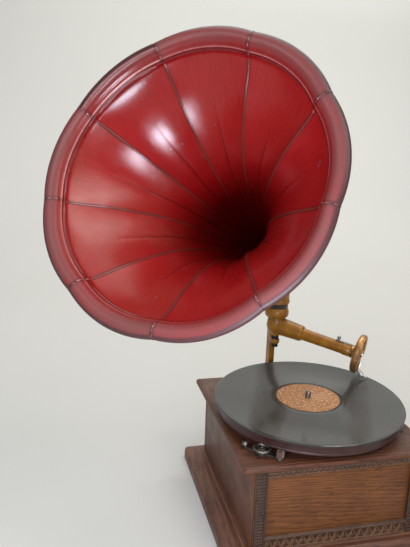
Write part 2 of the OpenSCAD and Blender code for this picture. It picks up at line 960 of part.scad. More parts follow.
module record() {
  r = record_d / 2;
  color("dimgray")
    rotate_extrude($fn = 180)
      polygon([
        [spindle_r + running_gap, mat_z + 0.15], [label_d / 2, mat_z + 0.15], [label_d / 2, mat_z],
        [r - 0.7, mat_z], [r, mat_z + 0.6], [r, record_z - 0.6], [r - 0.7, record_z],
        [label_d / 2, record_z], [label_d / 2, record_z - 0.15], [spindle_r + running_gap, record_z - 0.15]
      ]);
}

module record_labels() {
  color("coral") {
    pipe(label_d / 2, spindle_r + running_gap, record_z - 0.15, record_z);
    pipe(label_d / 2, spindle_r + running_gap, mat_z, mat_z + 0.15);
  }
}

// shallow cup-shaped dial with a raised pointer
module regulator_dial() {
  r = dial_d / 2;
  z0 = board_z + 3.4;
  color("dimgray")
    translate([-regulator_x, -regulator_y, z0])
      difference() {
        union() {
          rotate_extrude()
            polygon([
              [2.5 + running_gap, 0], [r - 1.5, 0], [r, 1.5], [r, 3.6], [r - 1, 4.9], [r - 2.2, 4.9],
              [r - 3, 2.4], [5, 2.4], [5, 4.2], [2.5 + running_gap, 4.2]
            ]);
          rotate([0, 0, 200])
            block(4.5, r - 2.5, -1, 1, 1.5, 3.8);
        }
        translate([0, 0, -1])
          cylinder(r = 2.5 + running_gap, h = 8);
      }
}

// flat brake lever with a ball at one end and the pad's post at the other
module brake_lever() {
  z0 = board_z + free_gap;
  color("gray")
    translate([-regulator_x, -regulator_y, z0])
      difference() {
        union() {
          cylinder(r = 7, h = 2.3);
          rotate([0, 0, -brake_angle])
            block(0, pad_reach, -3, 3, 0, 2.3);
          rotate([0, 0, -brake_angle]) {
            translate([pad_reach, -1.5, 0])
              cylinder(r = 4.2, h = 2.6);
            translate([pad_reach, -1.5, 2])
              cylinder(r = 2, h = 8);
          }
          rotate([0, 0, 180 - brake_angle]) {
            block(0, 22.5, -2.5, 2.5, 0, 2.3);
            translate([22.5, 0, 0])
              cylinder(r = 2.5, h = 4);
            translate([22.5, 0, 5.4])
              sphere(r = 3.8, $fn = 48);
          }
        }
        translate([0, 0, -1])
          cylinder(r = 2.5 + running_gap, h = 8);
      }
}

// leather-faced brake pad on the lever's post
module brake_pad() {
  z0 = board_z + free_gap + 2.6;
  color("saddlebrown")
    translate([-regulator_x, -regulator_y, z0])
      rotate([0, 0, -brake_angle])
        translate([pad_reach, -1.5, 0])
          difference() {
            union() {
              cylinder(r = 3.8, h = 8);
              block(-3.8, 3.8, 0, 4.2, 0, 8);
            }
            translate([0, 0, -1])
              cylinder(r = 2 + running_gap, h = 10);
          }
}

module bracket_screw_places(y) {
  for (sx = [-1, 1], z = [76, 106])
    translate([sx * 19, y, z])
      rotate([-90, 0, 0])
        children();
}

// cast bracket: foot plate, curved bar, pivot lug, ring and spigot
module bracket() {
  front = pivot_y + 10;
  back = pivot_y + 26;
  ring_top = ring_z + ring_h;
  ring_r = ring_d / 2;
  color("goldenrod")
    difference() {
      union() {
        block(-27, 27, case_rear, case_rear + 5, 66, 116);
        translate([-bar_w / 2, 0, 0])
          rotate([90, 0, 90])
            linear_extrude(height = bar_w)
              polygon([
                [case_rear + 4, 68], [case_rear + 12, 70], [back - 15, 78], [back - 8, 90], [back - 2.5, 104],
                [back, 122], [back, ring_top - 7], [back - 2, ring_top - 3], [back - 6, ring_top - 1],
                [pivot_y + 15, ring_top - 1], [pivot_y + 15, ring_z], [pivot_y + 17, ring_z - 4],
                [pivot_y + 17, 206], [front, 200], [front, 134], [front - 2, 125], [front - 6, 119],
                [case_rear + 8, 116], [case_rear + 4, 115]
              ]);
        translate([0, pivot_y, 0]) {
          rotate_extrude()
            polygon([
              [5, ring_z], [ring_r - 2.4, ring_z], [ring_r - 0.9, ring_z + 1.8], [ring_r, ring_z + 5],
              [ring_r, ring_z + 9.5], [ring_r - 0.9, ring_z + 13], [ring_r - 2.4, ring_top],
              [spigot_r, ring_top], [spigot_r, ring_top + 14], [spigot_r - 0.6, ring_top + 15],
              [5, ring_top + 15]
            ]);
          translate([0, 0, 190])
            cylinder(r = 7, h = 7);
          block(-4.5, 4.5, 0, 14, 190, 197);
        }
      }
      translate([0, pivot_y, ring_z - 1])
        cylinder(r = 12.5, h = ring_h + 17);
      translate([0, pivot_y, 189])
        cylinder(r = 3 + running_gap, h = 9);
      bracket_screw_places(case_rear)
        translate([0, 0, -1])
          cylinder(r = screw_r + screw_gap, h = 8);
    }
}

module bracket_screws() {
  color("dimgray")
    bracket_screw_places(case_rear)
      difference() {
        union() {
          translate([0, 0, -9])
            cylinder(r = screw_r, h = 15);
          translate([0, 0, 5])
            cylinder(r1 = 4.2, r2 = 2.8, h = 2.2);
        }
        translate([0, 0, 7.2])
          cube([10, 0.9, 1.8], center = true);
      }
}

// pivot screw with its lock nut and slotted head
module arm_pivot_screw() {
  color("black")
    translate([0, pivot_y, 0])
      difference() {
        union() {
          translate([0, 0, 186])
            cylinder(r = 3, h = 15.6);
          translate([0, 0, 201.6])
            cylinder(r1 = 3, r2 = 0.4, h = 3);
          translate([0, 0, 184])
            cylinder(r = 5, h = 6);
          translate([0, 0, 197])
            cylinder(r = 6, h = 4, $fn = 6);
        }
        translate([0, 0, 184])
          cube([12, 1, 2.4], center = true);
      }
}

// elbow casting of the tonearm, bored through
module arm_elbow() {
  color("goldenrod")
    difference() {
      union() {
        translate([0, pivot_y, 0])
          rotate_extrude()
            polygon([
              [0, 202.4], [6.4, 202.4], [7.4, 204], [7.4, 208], [12.6, arm_z - 4], [13.8, arm_z + 4],
              [13.4, 228], [stub_r, 231.5], [stub_r, stub_top], [0, stub_top]
            ]);
        translate([0, pivot_y, arm_z])
          sphere(r = 14.5);
        on_arm()
          rotate_extrude()
            polygon([
              [0, 2], [14.2, 2], [12.2, elbow_len - 3], [10.8, elbow_len], [0, elbow_len]
            ]);
      }
      translate([0, pivot_y, arm_z - 9])
        cylinder(r = 9.5, h = 70);
      on_arm()
        rotate_extrude()
          polygon([
            [0, 1], [7.2, 1], [7.2, elbow_len - 14], [9.2 + screw_gap, elbow_len - 14],
            [9.2 + screw_gap, elbow_len + 1], [0, elbow_len + 1]
          ]);
      translate([0, pivot_y, 202.3])
        cylinder(r1 = 3.1, r2 = 0.4, h = 3.1);
    }
}

// tapered tube with a short swivel collar on its end
module arm_tube() {
  color("goldenrod")
    on_arm()
      difference() {
        union() {
          translate([0, 0, elbow_len - 13.8])
            cylinder(r = 9.2, h = 14);
          translate([0, 0, elbow_len])
            cylinder(r1 = 9.2, r2 = 8.5, h = 66);
          translate([0, 0, elbow_len + 63])
            cylinder(r = 9.2, h = tube_end - elbow_len - 63);
        }
        translate([0, 0, elbow_len - 15])
          cylinder(r = 7, h = 120);
      }
}

// leaf spring and ball-headed screw on top of the tube
module arm_latch() {
  z0 = elbow_len + 54;
  color("gray")
    on_arm()
      union() {
        block(-9.8, -9.3, -2.2, 2.2, z0 - 4, tube_end - free_gap);
        translate([-9.4, 0, z0])
          rotate([0, -90, 0])
            rotate_extrude()
              polygon([
                [0, 0], [2.1, 0], [2.1, 1.6], [1.6, 2.2], [2.3, 2.8], [2.8, 3.8], [2.9, 4.6],
                [2.5, 5.8], [1.4, 6.7], [0, 7]
              ]);
      }
}

// soundbox back and rim, with the spigot that turns in the arm's collar
module soundbox_shell() {
  r = soundbox_d / 2;
  t0 = face_t - 10.5;
  color("peru")
    on_arm()
      rotate_extrude()
        polygon([
          [4.5, t0 - 16], [7 - running_gap, t0 - 16], [7 - running_gap, t0 - 6], [9.4, t0 - 5.6],
          [9.4, t0 - 1.5], [r - 5, t0], [r - 1.6, t0 + 1.4], [r, t0 + 3.6], [r, t0 + 8.2],
          [r - 0.8, t0 + 9], [r - 3, t0 + 9], [r - 3, t0 + 3], [4.5, t0 + 1.5]
        ]);
}

// stepped face ring that clamps the diaphragm
module soundbox_ring() {
  r = soundbox_d / 2;
  color("peru")
    on_arm()
      rotate_extrude()
        polygon([
          [r - 3 - screw_gap, face_t - 3], [r - 3 - screw_gap, face_t - 1.5], [r - 0.8, face_t - 1.5],
          [r - 1.4, face_t - 0.3], [r - 3, face_t], [r - 5, face_t - 0.4], [r - 6.4, face_t - 1.4],
          [r - 8, face_t - 1.6], [r - 8, face_t - 3]
        ]);
}

// thin domed-step diaphragm with its rivet
module diaphragm() {
  r = soundbox_d / 2 - 3 - screw_gap;
  t = face_t - 3;
  color("tan")
    on_arm()
      rotate_extrude()
        polygon([
          [0, t - 2.4], [11, t - 2.4], [13, t - 1], [r, t - 1], [r, t], [12.6, t],
          [10.6, t - 1.4], [2, t - 1.4], [2, t - 0.2], [0, t - 0.2]
        ]);
}

// needle arm: from the rivet down over the face to the needle's socket
module needle_arm() {
  r = soundbox_d / 2;
  color("silver")
    on_arm()
      difference() {
        union() {
          translate([0, 0, face_t - 3.2])
            cylinder(r = 1.6, h = 4);
          block(-2, r - 3, -1.3, 1.3, face_t + 0.3, face_t + 1.8);
          block(r - 7, r - 1, -4, 4, face_t + 0.3, face_t + 3);
          needle_line()
            translate([0, 0, -1])
              cylinder(r1 = 2.9, r2 = 2.2, h = 9.5);
        }
        needle_line()
          translate([0, 0, 2])
            cylinder(r = 0.8 + running_gap, h = 20);
      }
}

// place children on the needle: Z runs to its tip
module needle_line() {
  dx = tip_drop - 26.4;
  dz = tip_t - face_t - 2;
  translate([26.4, 0, face_t + 2])
    rotate([0, atan2(dx, dz), 0])
      children();
}

// winged screw that clamps the needle
module needle_screw() {
  color("silver")
    on_arm()
      needle_line()
        translate([0, 0, 4.6])
          rotate([90, 0, 0])
            union() {
              translate([0, 0, 2.7])
                cylinder(r = 1, h = 3);
              translate([0, 0, 5.6])
                cylinder(r = 2.6, h = 1.6);
            }
}

module needle() {
  len = norm([tip_drop - 26.4, tip_t - face_t - 2]);
  color("silver")
    on_arm()
      needle_line()
        union() {
          translate([0, 0, 2.2])
            cylinder(r = 0.8, h = len - 7.2);
          translate([0, 0, len - 5])
            cylinder(r1 = 0.8, r2 = 0.1, h = 5);
        }
}

// one sheet petal as a closed solid
module petal(k) {
  n = petal_facets + 1;
  m = section_last + 1;
  pts = concat(
    [for (i = [0:section_last], j = [0:petal_facets]) horn_point(i, k, j / petal_facets, 0)],
    [for (i = [0:section_last], j = [0:petal_facets]) horn_point(i, k, j / petal_facets, sheet_t)]
  );
  s = n * m;
  faces = concat(
    [for (i = [0:m - 2], j = [0:n - 2], h = [0:1])
      let (a = i * n + j)
      h == 0 ? [a, a + n, a + 1] : [a + 1, a + n, a + n + 1]],
    [for (i = [0:m - 2], j = [0:n - 2], h = [0:1])
      let (a = s + i * n + j)
      h == 0 ? [a, a + 1, a + n] : [a + 1, a + n + 1, a + n]],
    [for (i = [0:m - 2], h = [0:1])
      let (a = i * n)
      h == 0 ? [a, s + a, a + n] : [a + n, s + a, s + a + n]],
    [for (i = [0:m - 2], h = [0:1])
      let (a = i * n + n - 1)
      h == 0 ? [a, a + n, s + a] : [a + n, s + a + n, s + a]],
    [for (j = [0:n - 2], h = [0:1])
      h == 0 ? [j, j + 1, s + j] : [j + 1, s + j + 1, s + j]],
    [for (j = [0:n - 2], h = [0:1])
      let (a = (m - 1) * n + j)
      h == 0 ? [a, s + a, a + 1] : [a + 1, s + a, s + a + 1]]
  );
  polyhedron(points = pts, faces = faces, convexity = 6);
}

module horn_petals() {
  color("firebrick")
    on_horn()
      for (k = [0:petals - 1])
        petal(k);
}

// point of a seam rib on section i: c is the corner, 0 and 1 at the base and 2 and 3 on top
function rib_point(i, k, c) =
  let (s = horn_section[i])
  let (n = section_normal(i))
  let (h = c < 2 ? 0.04 : rib_h)
  let (w = (c == 0 || c == 3 ? -1 : 1) * (c < 2 ? rib_w / 2 : rib_w / 4))
  let (r = s[0] - n[0] * h)
  let (a = seam_angle + 360 / petals * k)
  [r * cos(a) - w * sin(a), r * sin(a) + w * cos(a), horn_len - s[1] + n[1] * h];

module seam_rib(k) {
  last = section_last - 2;
  pts = [for (i = [0:last], c = [0:3]) rib_point(i, k, c)];
  faces = concat(
    [for (i = [0:last - 1], c = [0:3], h = [0:1])
      let (a = 4 * i + c)
      let (b = 4 * i + (c + 1) % 4)
      h == 0 ? [a, b, a + 4] : [b, b + 4, a + 4]],
    [[0, 3, 2], [0, 2, 1], [4 * last, 4 * last + 1, 4 * last + 2], [4 * last, 4 * last + 2, 4 * last + 3]]
  );
  polyhedron(points = pts, faces = faces, convexity = 4);
}

module horn_seams() {
  color("brown")
    on_horn()
      for (k = [0:petals - 1])
        seam_rib(k);
}

// wire inside the rolled edge, following the petals
module horn_rim_wire() {
  wire_r = 1.1;
  sides = 6;
  steps = petals * petal_facets;
  s = horn_section[0];
  n = section_normal(0);
  pts = [for (i = [0:steps - 1], c = [0:sides - 1])
    let (u = (i % petal_facets) / petal_facets)
    let (b = s[2] * petal_bulge(u))
    let (r = s[0] + b + n[0] * (sheet_t + wire_r + 0.12) + wire_r * cos(360 * c / sides + 30))
    let (z = horn_len - s[1] - 0.3 * b - n[1] * (sheet_t + wire_r + 0.12) + wire_r * sin(360 * c / sides + 30))
    let (a = seam_angle + 360 * i / steps)
    [r * cos(a), r * sin(a), z]];
  faces = [for (i = [0:steps - 1], c = [0:sides - 1], h = [0:1])
    let (j = (i + 1) % steps)
    let (d = (c + 1) % sides)
    h == 0 ? [i * sides + c, i * sides + d, j * sides + c] : [i * sides + d, j * sides + d, j * sides + c]];
  color("brown")
    on_horn()
      polyhedron(points = pts, faces = faces, convexity = 8);
}

// bend between the horn and the bracket, with a ferrule below and a flanged sleeve above, soldered together
module horn_elbow() {
  bore = neck_r - 2;
  sleeve_r = 22.2;
  color("goldenrod") {
    on_pivot() {
      pipe(neck_r, spigot_r + screw_gap, ferrule_z, bend_z - solder_gap);
      translate([0, -bend_r, bend_z])
        rotate([90, 0, 90])
          rotate_extrude(angle = bend_angle)
            translate([bend_r, 0])
              difference() {
                circle(r = neck_r);
                circle(r = bore);
              }
    }
    on_horn() {
      pipe(sleeve_r, bore, throat_at + solder_gap, throat_at + flange_t);
      pipe(sleeve_r, sleeve_r - 1.4, throat_at + flange_t, throat_at + flange_t + 12);
    }
  }
}

// dark leather washer between the ring and the ferrule
module horn_gasket() {
  color("black")
    translate([0, pivot_y, 0])
      pipe(16.6, spigot_r + screw_gap, ring_z + ring_h + free_gap, ferrule_z - free_gap);
}

bottom_board();
plinth_front();
plinth_back();
plinth_sides();
case_front();
case_back();
case_left();
case_right();
moulding_top();
moulding_bottom();
moulding_stiles();
top_board();
board_screws();
motor_bolts();
motor_top_plate();
motor_bottom_plate();
motor_pillars();
spring_barrel();
mainspring();
barrel_arbor();
ratchet_wheel();
ratchet_click();
drive_arbor();
drive_wheel();
spindle();
worm_wheel();
governor_shaft();
governor_weights();
governor_springs();
governor_disc();
speed_lever();
regulator_shaft();
crank_shaft();
crank_arm();
crank_knob();
crank_escutcheon();
platter();
turntable_mat();
record();
record_labels();
regulator_dial();
brake_lever();
brake_pad();
bracket();
bracket_screws();
arm_pivot_screw();
arm_elbow();
arm_tube();
arm_latch();
soundbox_shell();
soundbox_ring();
diaphragm();
needle_arm();
needle_screw();
needle();
horn_petals();
horn_seams();
horn_rim_wire();
horn_elbow();
horn_gasket();
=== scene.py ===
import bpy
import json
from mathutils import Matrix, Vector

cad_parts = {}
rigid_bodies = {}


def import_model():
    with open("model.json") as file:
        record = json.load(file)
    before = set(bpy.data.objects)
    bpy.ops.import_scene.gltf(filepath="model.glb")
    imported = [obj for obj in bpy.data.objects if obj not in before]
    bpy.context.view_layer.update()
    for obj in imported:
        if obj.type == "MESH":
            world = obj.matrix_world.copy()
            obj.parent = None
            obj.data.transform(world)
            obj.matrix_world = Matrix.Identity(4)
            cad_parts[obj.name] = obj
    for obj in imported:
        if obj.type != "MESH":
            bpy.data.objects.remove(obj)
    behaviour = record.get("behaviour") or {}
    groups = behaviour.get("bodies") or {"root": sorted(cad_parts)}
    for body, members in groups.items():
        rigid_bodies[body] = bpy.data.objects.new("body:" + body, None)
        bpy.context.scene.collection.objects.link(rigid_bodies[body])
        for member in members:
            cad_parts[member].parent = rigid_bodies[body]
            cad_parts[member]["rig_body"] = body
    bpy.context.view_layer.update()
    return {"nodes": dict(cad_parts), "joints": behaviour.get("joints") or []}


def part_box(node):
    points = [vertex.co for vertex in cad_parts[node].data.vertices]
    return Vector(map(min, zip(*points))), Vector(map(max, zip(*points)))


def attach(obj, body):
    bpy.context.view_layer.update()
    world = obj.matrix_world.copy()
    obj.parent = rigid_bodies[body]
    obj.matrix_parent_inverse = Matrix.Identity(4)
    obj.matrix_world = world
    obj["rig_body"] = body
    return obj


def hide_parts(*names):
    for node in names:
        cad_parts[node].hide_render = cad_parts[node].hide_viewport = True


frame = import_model()

import json
import math
from contextlib import contextmanager

import bmesh
import bpy
import numpy as np
from mathutils import Matrix, Vector

mm = 0.001  # shapes are drawn in mm, and their meshes are kept in metres
nodes = frame["nodes"]
joints = {joint["name"]: joint for joint in frame["joints"]}
scene = bpy.context.scene
scene.view_settings.view_transform = "Standard"
scene.view_settings.look = "None"


def feed(tree, socket, value):
    # links another socket, or sets a plain value
    if isinstance(value, bpy.types.NodeSocket):
        tree.links.new(value, socket)
    elif socket.type == "RGBA" and len(value) == 3:
        socket.default_value = (*value, 1)
    else:
        socket.default_value = value


def put(tree, kind, settings=None, values=None):
    node = tree.nodes.new(kind)
    for key, value in (settings or {}).items():
        setattr(node, key, value)
    for key, value in (values or {}).items():
        feed(tree, node.inputs[key], value)
    return node


def maths(tree, operation, first, second=0.0, third=0.0):
    return put(tree, "ShaderNodeMath", {"operation": operation}, {0: first, 1: second, 2: third}).outputs[0]


def times(tree, first, second):
    return maths(tree, "MULTIPLY", first, second)


def timesPlus(tree, first, second, third):
    return maths(tree, "MULTIPLY_ADD", first, second, third)


def slope(tree, value, start, end):
    # 0 at start and 1 at end, whichever of them is larger
    return put(tree, "ShaderNodeMapRange", None,
               {"Value": value, "From Min": start, "From Max": end}).outputs[0]


def span(tree, value, low, high, soft):
    # 1 between low and high, fading over soft
    rise = slope(tree, value, low - soft, low + soft)
    return times(tree, rise, slope(tree, value, high + soft, high - soft))


def noise(tree, vector, scale, detail, roughness=0.5, distortion=0.0):
    return put(tree, "ShaderNodeTexNoise", None, {
        "Vector": vector, "Scale": scale, "Detail": detail, "Roughness": roughness, "Distortion": distortion,
    }).outputs["Fac"]


def mapped(tree, vector, scale=(1, 1, 1), turn=(0, 0, 0)):
    return put(tree, "ShaderNodeMapping", None,
               {"Vector": vector, "Scale": scale, "Rotation": turn}).outputs[0]


def ramp(tree, factor, stops):
    # each stop is a place and a colour
    node = put(tree, "ShaderNodeValToRGB", None, {"Fac": factor})
    elements = node.color_ramp.elements
    while len(elements) < len(stops):
        elements.new(0.5)
    for element, (place, colour) in zip(elements, stops):
        element.position = place
        element.color = (*colour, 1)
    return node.outputs["Color"]


def shaded(colour, share):
    return tuple(channel * share for channel in colour)


def mixColour(tree, factor, first, second, blend="MIX"):
    return put(tree, "ShaderNodeMix", {"data_type": "RGBA", "blend_type": blend},
               {0: factor, 6: first, 7: second}).outputs[2]


def layered(tree, colour, *coats):
    # lays each coat over what is below it: its colour, mask and strength
    for coat, mask, strength in coats:
        colour = mixColour(tree, times(tree, mask, strength), colour, coat)
    return colour


def newMaterial(name, turn=(0, 0, 0)):
    material = bpy.data.materials.new(name)
    material.use_nodes = True
    tree = material.node_tree
    return material, tree, mapped(tree, put(tree, "ShaderNodeTexCoord").outputs["Object"], turn=turn)


def finishMaterial(tree, values, bump=None):
    # values go to the shader's sockets, and a bump is its strength, depth in metres and height
    shader = tree.nodes["Principled BSDF"]
    for key, value in values.items():
        feed(tree, shader.inputs[key], value)
    if bump:
        node = put(tree, "ShaderNodeBump", None, dict(zip(("Strength", "Distance", "Height"), bump)))
        tree.links.new(node.outputs[0], shader.inputs["Normal"])


def boxOf(node):
    # the node's lowest and highest corner in mm
    return [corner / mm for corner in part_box(node)]


def gridFaces(rows, columns, first=0, closed=False, flipped=False):
    # quads between rows of points, where a closed row also joins its last point to its first
    faces = []
    for i in range(rows - 1):
        row = first + i * columns
        for j in range(columns if closed else columns - 1):
            a, b = row + j, row + (j + 1) % columns
            faces.append((a, a + columns, b + columns, b) if flipped else (a, b, b + columns, a + columns))
    return faces


def meshOf(name, points, faces):
    mesh = bpy.data.meshes.new(name)
    mesh.from_pydata([tuple(value * mm for value in point) for point in points], [], faces)
    return mesh


@contextmanager
def editing(mesh):
    shape = bmesh.new()
    shape.from_mesh(mesh)
    yield shape
    shape.to_mesh(mesh)
    shape.free()


def smoothByAngle(mesh, degrees):
    mesh.shade_smooth()
    mesh.set_sharp_from_angle(angle=math.radians(degrees))


def paint(mesh, material):
    mesh.materials.clear()
    mesh.materials.append(material)


def writeValues(mesh, values):
    # numbers at the mesh's points, for its material to read
    for name, numbers in values.items():
        attribute = mesh.attributes.new(name, "FLOAT", "POINT")
        attribute.data.foreach_set("value", np.array(numbers, np.float32))


def roundedOutline(points, radius, steps=3):
    # rounds each corner of a closed outline with an arc-like curve
    result = []
    for i, point in enumerate(points):
        here = Vector(point)
        before = Vector(points[i - 1]) - here
        after = Vector(points[(i + 1) % len(points)]) - here
        reach = min(radius, before.length * 0.45, after.length * 0.45)
        first = here + before.normalized() * reach
        last = here + after.normalized() * reach
        for k in range(steps + 1):
            t = k / steps
            result.append(tuple(first * (1 - t) ** 2 + here * 2 * t * (1 - t) + last * t * t))
    return result


def latheMesh(name, outline, segments, place=None):
    # turns a closed outline of (radius, height) about Z
    angles = [2 * math.pi * j / segments for j in range(segments)]
    points = [(max(r, 0.0) * math.cos(angle), max(r, 0.0) * math.sin(angle), z)
              for r, z in (*outline, outline[0]) for angle in angles]
    mesh = meshOf(name, points, gridFaces(len(outline) + 1, segments, closed=True))
    with editing(mesh) as shape:
        bmesh.ops.remove_doubles(shape, verts=shape.verts, dist=1e-7)
        bmesh.ops.dissolve_degenerate(shape, edges=shape.edges, dist=1e-7)
        bmesh.ops.recalc_face_normals(shape, faces=shape.faces)
        if place is not None:
            shape.transform(place)
    smoothByAngle(mesh, 32)
    return mesh


def prismMesh(name, outline, low, high, upright=False):
    # a bar with its outline in (Y, Z), or in (X, Y) where it stands upright
    points = [(a, b, end) if upright else (end, a, b) for end in (low, high) for a, b in outline]
    count = len(outline)
    caps = [tuple(range(count))[::-1], tuple(range(count, 2 * count))]
    mesh = meshOf(name, points, gridFaces(2, count, closed=True) + caps)
    with editing(mesh) as shape:
        bmesh.ops.recalc_face_normals(shape, faces=shape.faces)
    return mesh


def newPiece(name, mesh):
    piece = bpy.data.objects.new(name, mesh)
    scene.collection.objects.link(piece)
    return piece


def placeMesh(name, mesh, material, body, node):
    piece = newPiece(name, mesh)
    paint(mesh, material)
    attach(piece, body)
    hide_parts(node)
    return piece


def addModifier(piece, kind, settings):
    modifier = piece.modifiers.new(kind.lower(), kind)
    for key, value in settings.items():
        setattr(modifier, key, value)


def applied(piece):
    # the piece's mesh with its modifiers applied
    bpy.context.view_layer.update()
    depsgraph = bpy.context.evaluated_depsgraph_get()
    mesh = bpy.data.meshes.new_from_object(piece.evaluated_get(depsgraph))
    old = piece.data
    piece.modifiers.clear()
    piece.data = mesh
    bpy.data.meshes.remove(old)
    return mesh


def copyNode(node, name):
    mesh = nodes[node].data.copy()
    mesh.name = name
    with editing(mesh) as shape:
        bmesh.ops.remove_doubles(shape, verts=shape.verts, dist=2e-6)
        bmesh.ops.dissolve_limit(shape, angle_limit=math.radians(0.6), verts=shape.verts, edges=shape.edges)
    return newPiece(name, mesh)


def takeOver(piece, node, material):
    mesh = applied(piece)
    paint(mesh, material)
    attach(piece, nodes[node]["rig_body"])
    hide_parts(node)
    return mesh


def softened(node, name, material, width, segments=2):
    # a copy of a CAD node with its edges rounded over
    piece = copyNode(node, name)
    addModifier(piece, "BEVEL", {"width": width * mm, "segments": segments, "limit_method": "ANGLE",
                                 "angle_limit": math.radians(30)})
    smoothByAngle(takeOver(piece, node, material), 40)


def castCopy(node, name, material, voxel, rounds):
    # a copy of a CAD node with the soft edges of a casting
    piece = copyNode(node, name)
    addModifier(piece, "REMESH", {"mode": "VOXEL", "voxel_size": voxel * mm, "use_smooth_shade": True})
    addModifier(piece, "SMOOTH", {"factor": 0.5, "iterations": rounds})
    takeOver(piece, node, material).shade_smooth()


def newRowTree(name, inputs):
    # a modifier's tree with a named input for each of its sizes
    tree = bpy.data.node_groups.new(name, "GeometryNodeTree")
    tree.is_modifier = True
    tree.interface.new_socket("Geometry", in_out="INPUT", socket_type="NodeSocketGeometry")
    ids = {}
    for label, kind in inputs.items():
        socket = tree.interface.new_socket(label, in_out="INPUT", socket_type="NodeSocket" + kind)
        ids[label] = socket.identifier
    tree.interface.new_socket("Geometry", in_out="OUTPUT", socket_type="NodeSocketGeometry")
    return tree, ids, tree.nodes.new("NodeGroupInput").outputs


def endRowTree(tree, geometry, material):
    finish = put(tree, "GeometryNodeSetMaterial", None, {"Geometry": geometry, "Material": material})
    tree.links.new(finish.outputs["Geometry"], tree.nodes.new("NodeGroupOutput").inputs["Geometry"])


def grow(piece, tree, ids, values, material):
    # runs the tree on the piece and keeps the result as its mesh
    modifier = piece.modifiers.new("row", "NODES")
    modifier.node_group = tree
    for label, value in values.items():
        modifier[ids[label]] = value
    mesh = applied(piece)
    paint(mesh, material)
    return mesh


# camera, floor and light, in metres and degrees
viewpoint = {
    "place": (-0.3133, -0.6672, 0.5029),
    "yaw": 13.76,
    "pitch": 13.54,
    "roll": -2.04,
    "focalPixels": 575.9,
    "frameHeightPixels": 547,
    "sensorHeight": 36,
}


def placeCamera():
    yaw, pitch, roll = (math.radians(viewpoint[key]) for key in ("yaw", "pitch", "roll"))
    forward = Vector((math.sin(yaw) * math.cos(pitch), math.cos(yaw) * math.cos(pitch), -math.sin(pitch)))
    right = Vector((math.cos(yaw), -math.sin(yaw), 0))
    down = forward.cross(right)
    turnedRight = right * math.cos(roll) + down * math.sin(roll)
    turnedDown = down * math.cos(roll) - right * math.sin(roll)
    camera = newPiece("camera", bpy.data.cameras.new("camera"))
    basis = Matrix((turnedRight, -turnedDown, -forward)).transposed().to_4x4()
    camera.matrix_world = Matrix.Translation(viewpoint["place"]) @ basis
    camera.data.sensor_fit = "VERTICAL"
    camera.data.sensor_height = viewpoint["sensorHeight"]
    camera.data.lens = viewpoint["sensorHeight"] * viewpoint["focalPixels"] / viewpoint["frameHeightPixels"]
    camera.data.clip_start = 0.02
    camera.data.clip_end = 30
    scene.camera = camera


studio = {
    "sweepWidth": 9.0,
    "sweepFront": -4.0,
    "sweepBack": 2.3,
    "sweepHeight": 4.0,
    "sweepRadius": 1.1,
    "sweepSteps": 16,
    "paper": (0.505, 0.502, 0.478),
    "room": (0.93, 0.95, 0.97),
    "roomStrength": 0.34,
}
# each light's place, target, width and height, watts, colour and turn about its own beam
lights = {
    "windowLight": ((-1.14, -1.15, 1.00), (-0.26, 0, 0.56), (0.75, 0.16), 7, (0.88, 0.93, 1.0), 0),
    "sideWindow": ((-1.15, -0.35, 1.22), (-0.15, -0.1, 0.5), (0.28, 0.20), 1.4, (0.92, 0.96, 1.0), 0),
    "keyLight": ((0.28, -0.75, 1.85), (-0.1, 0, 0.25), (0.4, 0.6), 4.5, (1.0, 0.93, 0.85), 0),
    "lowStrip": ((-0.196, -0.533, 0.271), (-0.24, -0.015, 0.54), (0.26, 0.08), 2.7, (0.80, 0.86, 1.0), -134),
    "softLeft": ((-1.5, -1.3, 2.0), (0, 0, 0.3), (1.6, 1.2), 10, (0.92, 0.96, 1.0), 0),
    "softFront": ((0.7, -1.4, 1.9), (0, 0, 0.25), (1.4, 1.0), 15, (1.0, 0.95, 0.88), 0),
    "ceilingLight": ((0.1, 0.4, 2.7), (0, 0.2, 0.1), (2.4, 2.0), 23, (1.0, 0.98, 0.95), 0),
    "wallWash": ((0.9, 1.2, 2.6), (0.9, 2.3, 1.1), (3.0, 0.4), 64, (1.0, 0.99, 0.97), 0),
}


def layFloor():
    # one sheet of pale paper that curves up behind the object
    radius, back = studio["sweepRadius"], studio["sweepBack"]
    profile = [(studio["sweepFront"], 0.0)]
    for k in range(studio["sweepSteps"] + 1):
        angle = math.pi / 2 * k / studio["sweepSteps"]
        profile.append((back - radius + radius * math.sin(angle), radius - radius * math.cos(angle)))
    profile.append((back, studio["sweepHeight"]))
    half = studio["sweepWidth"] / 2
    mesh = bpy.data.meshes.new("paperSweep")
    mesh.from_pydata([(x, y, z) for y, z in profile for x in (-half, half)], [], gridFaces(len(profile), 2))
    mesh.shade_smooth()
    material, tree, coords = newMaterial("paleBackdrop")
    cloud = noise(tree, coords, 1.3, 3.0)
    paper = ramp(tree, cloud, [(0.3, shaded(studio["paper"], 0.97)), (0.7, studio["paper"])])
    finishMaterial(tree, {"Base Color": paper, "Roughness": 0.9, "Specular IOR Level": 0.2})
    paint(mesh, material)
    newPiece("paperSweep", mesh)


def lightStudio():
    scene.world = bpy.data.worlds.new("softRoom")
    scene.world.use_nodes = True
    background = scene.world.node_tree.nodes["Background"]
    background.inputs["Color"].default_value = (*studio["room"], 1)
    background.inputs["Strength"].default_value = studio["roomStrength"]
    for name, (place, target, size, watts, colour, turn) in lights.items():
        light = bpy.data.lights.new(name, "AREA")
        light.shape = "RECTANGLE"
        light.size, light.size_y = size
        light.energy = watts
        light.color = colour
        lamp = newPiece(name, light)
        lamp.location = place
        aim = (Vector(target) - Vector(place)).to_track_quat("-Z", "Y").to_matrix()
        lamp.rotation_euler = (aim @ Matrix.Rotation(math.radians(turn), 3, "Z")).to_euler()


